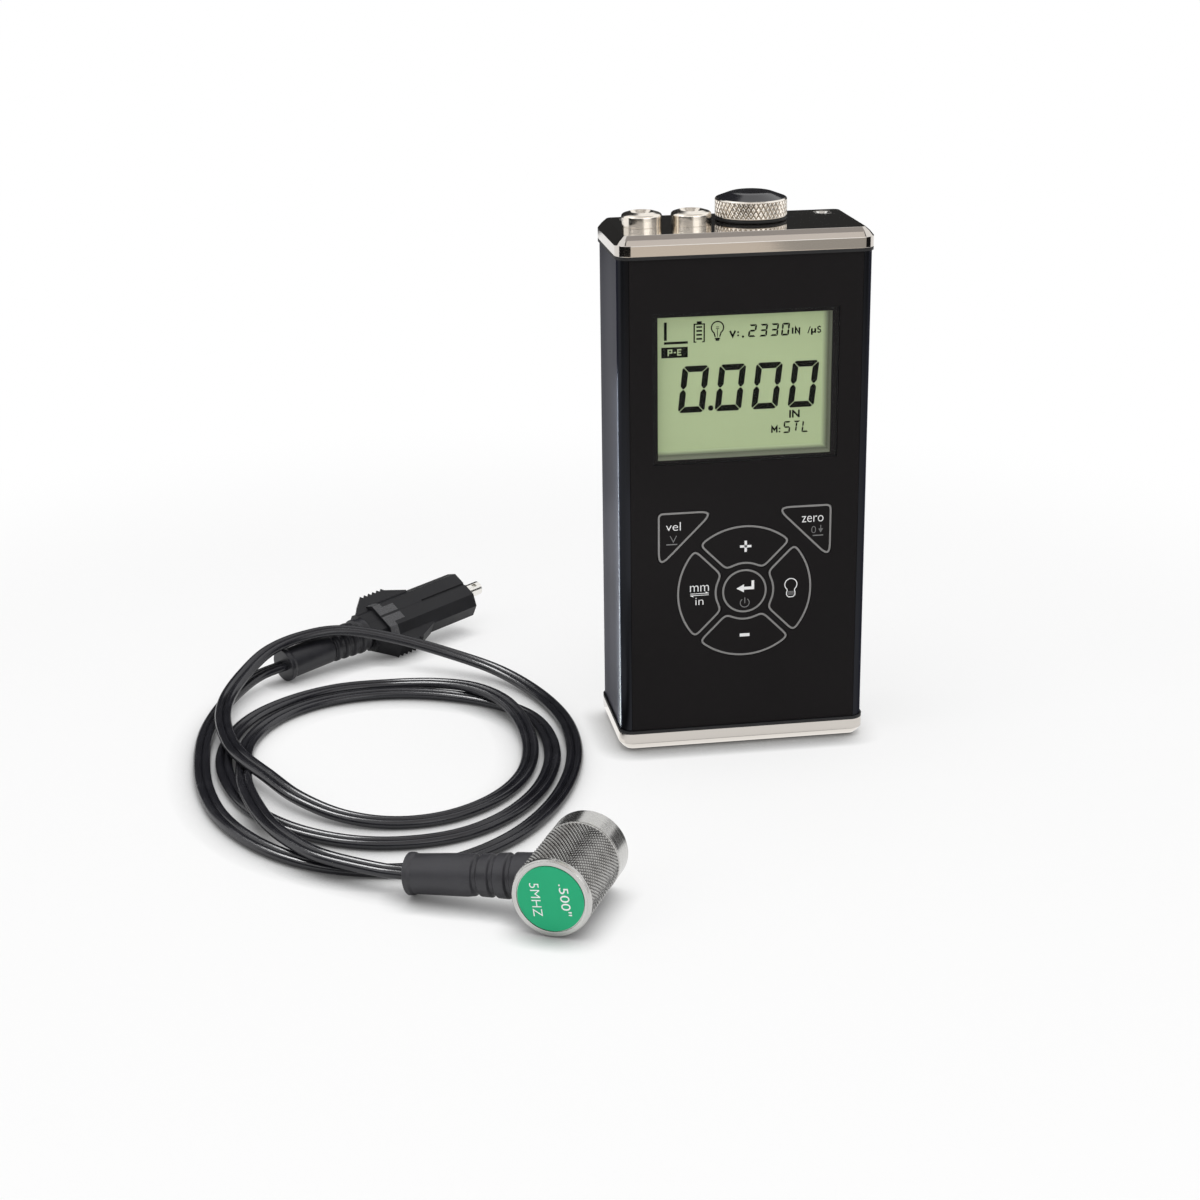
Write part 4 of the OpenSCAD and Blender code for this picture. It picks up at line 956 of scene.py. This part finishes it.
def makeBoot(p, s):
    # a tapered sleeve with three grooves by the barrel and a lip at its far end
    length, rows = p["bootLength"], [(0, s["seat"]), (s["root"], s["seat"])]
    for i in range(3):
        z, r = s["grooveFrom"] + s["grooveStep"] * i, s["root"] - s["taper"] * i
        rows += [(r, z), (r - s["deep"], z + 0.4), (r - s["deep"], z + 1.2), (r - 0.1, z + s["groove"])]
    lipZ = length - s["lipLength"]
    rows += [(s["tip"] + 0.3, s["smooth"]), (s["tip"], lipZ - 0.6), (s["lip"], lipZ), (s["lip"], length), (0, length)]
    turnPiece("ribbed_boot", filleted(rows, 0.3, 4), axes(bootRoot, bootWay), 72, rubber, "black_rubber", 40,
              stands=["probe_boot"])


makeBarrel(probe, barrel)
makeLabel(barrel)
makeBoot(probe, boot)
print("probe made")


# ---- plug


relief = dict(lip=4.6, lipLength=1.2, sleeve=4.2, ribbed=13, ribs=4, rib=5.0, step=2.8, length=1.9, deep=0.8,
              taper=0.2)


def makeRelief(p, s):
    # a sleeve with a flared lip, then ribs that grow towards the plug
    first = p["relief"] - s["ribbed"]
    rows = [(0, 0), (s["lip"], 0), (s["lip"], s["lipLength"]), (s["sleeve"], s["lipLength"] + 0.8),
            (s["sleeve"], first)]
    for i in range(s["ribs"]):
        y, r = first + 1 + s["step"] * i, s["rib"] - s["taper"] * (s["ribs"] - 1 - i)
        rows += [(r - s["deep"], y), (r, y + 0.45), (r, y + 1.45), (r - s["deep"], y + s["length"])]
    rows += [(s["rib"] - 0.4, p["relief"] - 0.6), (s["rib"] - 0.4, p["relief"]), (0, p["relief"])]
    return turnPiece("ribbed_relief", filleted(rows, 0.3, 4), axes(plugStart, plugWay), 72, reliefRubber,
                     "black_rubber", 40, stands=["plug_relief"])


patch = dict(thick=0.06, gap=0.4, strip=3.0, flat=4.4, height=4.6, start=33.15, reach=39.5, arm=2.6, slope=3.3)


def makePatches(s):
    # stippled plates on both shells: a strip beside the seam, and an arm from its rear end out and down the slope
    turned = np.array(Matrix.Rotation(-plugTurn, 3, "Z") @ Matrix.Rotation(plugTilt, 3, "X")
                      @ Matrix.Rotation(plugRoll, 3, "Y"))
    y, flat = s["start"], s["flat"]
    strip = slab([(s["gap"], y), (flat, y), (flat, y + s["arm"]), (s["strip"], y + s["arm"]),
                  (s["strip"], s["reach"]), (s["gap"], s["reach"])], s["thick"])
    arm = bar(0.0, y, s["slope"], y + s["arm"], s["thick"])
    x, up = arm[0][:, 0], arm[0][:, 2]
    arm = (np.stack([flat + (x + up) * math.sqrt(0.5), arm[0][:, 1], (up - x) * math.sqrt(0.5)], 1), arm[1])
    parts = [(((p + [0, 0, s["height"]]) * [side, 1, 1]) @ turned.T + plugStart, f)
             for side in (-1, 1) for p, f in (strip, arm)]
    return place("grip_patches", joined(parts), stipple, "plug_plastic", 25)


reliefPiece = makeRelief(plug, relief)
patchPiece = makePatches(patch)
print("plug made")


# ---- floor, backdrop and light


studio = dict(world=0.5, floor=0.95, rough=0.8, half=3.0, lift=0.68, fadeFrom=0.17, fadeTo=0.34,
              middle=(-0.05, -0.01, 0.0), contact=0.007, paintedShadowPower=2.4, paintedShadowLean=(0.4, 0.8, 0.45))


def mathNode(tree, operation, *values):
    # the result of a Math node; each value is a number or a socket that feeds it
    node = addNode(tree, "Math")
    node.operation = operation
    for entry, value in zip(node.inputs, values):
        if isinstance(value, bpy.types.NodeSocket):
            tree.links.new(value, entry)
        else:
            entry.default_value = value
    return node.outputs[0]


def makeStage(s):
    # a white world that lights less than it shows, and a floor that glows towards white away from the object
    # and carries a painted contact shadow where something stands close by
    world = bpy.data.worlds.new("studio")
    bpy.context.scene.world = world
    world.use_nodes = True
    tree = world.node_tree
    path = addNode(tree, "LightPath").outputs
    shown = mathNode(tree, "MAXIMUM", path["Is Camera Ray"], path["Is Glossy Ray"])
    shown = mathNode(tree, "MAXIMUM", shown, path["Is Transmission Ray"])
    level = addNode(tree, "MapRange", To_Min=s["world"], To_Max=1.0)
    tree.links.new(shown, level.inputs["Value"])
    tree.nodes["Background"].inputs["Color"].default_value = (1, 1, 1, 1)
    tree.links.new(level.outputs["Result"], tree.nodes["Background"].inputs["Strength"])

    ground, tree, shader = newMaterial("pale_floor", Roughness=s["rough"])
    link = tree.links.new
    # painted contact shadow: ambient occlusion, leaned so that the painted shadow falls mostly in front, darkens the
    # floor's colour and holds back its glow near the object
    near = addNode(tree, "AmbientOcclusion", Color=(*[s["floor"]] * 3, 1), Distance=s["contact"])
    near.samples = 8
    lean = addNode(tree, "CombineXYZ", **dict(zip("XYZ", s["paintedShadowLean"])))  # the shade falls mostly in front
    link(lean.outputs[0], near.inputs["Normal"])
    link(near.outputs["Color"], shader.inputs["Base Color"])
    reach = addNode(tree, "VectorMath")
    reach.operation = "DISTANCE"
    reach.inputs[1].default_value = s["middle"]
    link(addNode(tree, "TexCoord").outputs["Object"], reach.inputs[0])
    fade = addNode(tree, "MapRange", From_Min=s["fadeFrom"], From_Max=s["fadeTo"], To_Min=s["lift"])
    fade.interpolation_type = "SMOOTHSTEP"
    link(reach.outputs["Value"], fade.inputs["Value"])
    path = addNode(tree, "LightPath").outputs
    shown = mathNode(tree, "MAXIMUM", path["Is Camera Ray"], path["Is Glossy Ray"])
    share = mathNode(tree, "MULTIPLY", shown, fade.outputs["Result"])
    clear = mathNode(tree, "POWER", near.outputs["AO"], s["paintedShadowPower"])
    mix = addNode(tree, "MixShader")
    link(mathNode(tree, "MULTIPLY", share, clear), mix.inputs["Fac"])
    link(shader.outputs[0], mix.inputs[1])
    link(addNode(tree, "Emission").outputs[0], mix.inputs[2])
    link(mix.outputs[0], tree.nodes["Material Output"].inputs["Surface"])
    edge = s["half"]
    mesh = bpy.data.meshes.new("floor")
    mesh.from_pydata([(-edge, -edge, 0), (edge, -edge, 0), (edge, edge, 0), (-edge, edge, 0)], [], [(0, 1, 2, 3)])
    mesh.materials.append(ground)
    addObject("floor", mesh)


def makeLamp(name, spot, aim, size, power, mirrored=True, lighting=True, only=None, colour=(1, 1, 1), spread=180):
    # a flat lamp that looks from its spot to its aim; only names the one object that it lights
    lamp = bpy.data.lights.new(name, "AREA")
    lamp.shape = "RECTANGLE"
    lamp.size, lamp.size_y = size
    lamp.energy, lamp.color, lamp.spread = power, colour, math.radians(spread)
    holder = addObject(name, lamp)
    back = unit(np.subtract(spot, aim))
    side = unit(np.cross([0, 1.0, 0] if abs(back[2]) > 0.9 else [0, 0, 1.0], back))
    holder.matrix_world = posed(side, np.cross(back, side), back, spot)
    holder.visible_glossy, holder.visible_diffuse = mirrored, lighting
    if only:
        group = bpy.data.collections.new(name)
        group.objects.link(only)
        holder.light_linking.receiver_collection = group


def makeCard(name, start, end, height, glow):
    # a card that only mirrors see, as a studio flag or reflector:
    # upright over a line where it has a low and a high edge, or level where it has one height
    (x0, y0), (x1, y1) = start, end
    if isinstance(height, tuple):
        corners = [(x0, y0, height[0]), (x1, y1, height[0]), (x1, y1, height[1]), (x0, y0, height[1])]
    else:
        corners = [(x0, y0, height), (x1, y0, height), (x1, y1, height), (x0, y1, height)]
    material = newMaterial(name, Base_Color=(0, 0, 0, 1), Specular_IOR_Level=0.0, Emission_Color=(*glow, 1),
                           Emission_Strength=1.0)[0]
    mesh = bpy.data.meshes.new(name)
    mesh.from_pydata(corners, [], [(0, 1, 2, 3)])
    mesh.materials.append(material)
    card = addObject(name, mesh)
    card.visible_camera = card.visible_diffuse = card.visible_shadow = card.visible_transmission = False


lamps = dict(
    overhead=dict(spot=(0.0, -0.15, 0.95), aim=(-0.03, -0.05, 0.0), size=(0.9, 0.7), power=4.6, mirrored=False),
    left=dict(spot=(-0.95, -0.35, 0.45), aim=(0.0, 0.0, 0.06), size=(0.5, 0.7), power=1.2),
    front=dict(spot=(0.35, -1.0, 0.55), aim=(-0.02, 0.0, 0.05), size=(0.6, 0.5), power=0.9),
    sparkle=dict(spot=(-0.38, 0.22, 0.62), aim=(-0.09, 0.0, 0.0), size=(0.3, 0.3), power=4.5, lighting=False,
                 only=leadPiece),
    edge=dict(spot=(-0.042, 0.006, 0.046), aim=(-0.031, -0.013, 0.0524), size=(0.0035, 0.09), power=0.0035,
              lighting=False, only=nodes["case_extrusion"], colour=(0.95, 1.0, 0.63), spread=32),
    kicker=dict(spot=(-0.075, 0.11, 0.002), aim=(-0.075, 0.109, 0.1), size=(0.07, 0.17), power=0.014,
                lighting=False, only=nodes["case_extrusion"]),
)
black, dark, grey, white = (0.01,) * 3, (0.03,) * 3, (0.05,) * 3, (1.0,) * 3
cards = dict(  # start and end in plan, height or low and high edge, glow
    back_flag=((-0.9, 0.75), (0.9, 0.75), (0.0, 0.5), dark),
    back_left_flag=((-0.9, 0.75), (0.04, 0.75), (0.5, 1.0), dark),
    left_flag=((-0.42, -0.42), (-0.42, -0.02), (0.0, 0.22), black),
    corner_flag=((-0.02, -0.62), (-0.42, -0.42), (0.001, 0.22), black),
    right_flag=((0.43, -0.42), (0.43, -0.02), (0.0, 0.22), black),
    upper_front=((-0.4, -0.8), (0.6, -0.157), 0.9, (0.8, 0.76, 0.73)),
    upper_line=((-0.4, -0.21), (0.6, -0.157), 0.899, (0.08, 0.08, 0.08)),
    upper_glint=((-0.4, -0.157), (0.6, -0.1), 0.899, (1.0, 0.98, 0.95)),
    upper_back=((-0.4, -0.157), (0.6, 0.1), 0.9, (0.42, 0.4, 0.39)),
    table_front=((-0.6, -0.9), (0.185, -0.27), 0.002, (0.75, 0.68, 0.60)),
    table_right=((0.185, -0.9), (0.8, -0.27), 0.002, (0.42, 0.40, 0.37)),
    under_foot=((-0.0378, -0.0157), (0.0318, 0.0157), 3e-4, (1.1, 1.1, 1.09)),
    probe_white=((-0.048, -0.027), (-0.006, -0.047), (0.036, 0.066), white),
    probe_flag=((0.004, -0.042), (0.016, -0.068), (0.001, 0.034), grey),
)
makeStage(studio)
for name, row in lamps.items():
    makeLamp(name, **row)
for name, row in cards.items():
    makeCard(name, *row)
print("stage set")
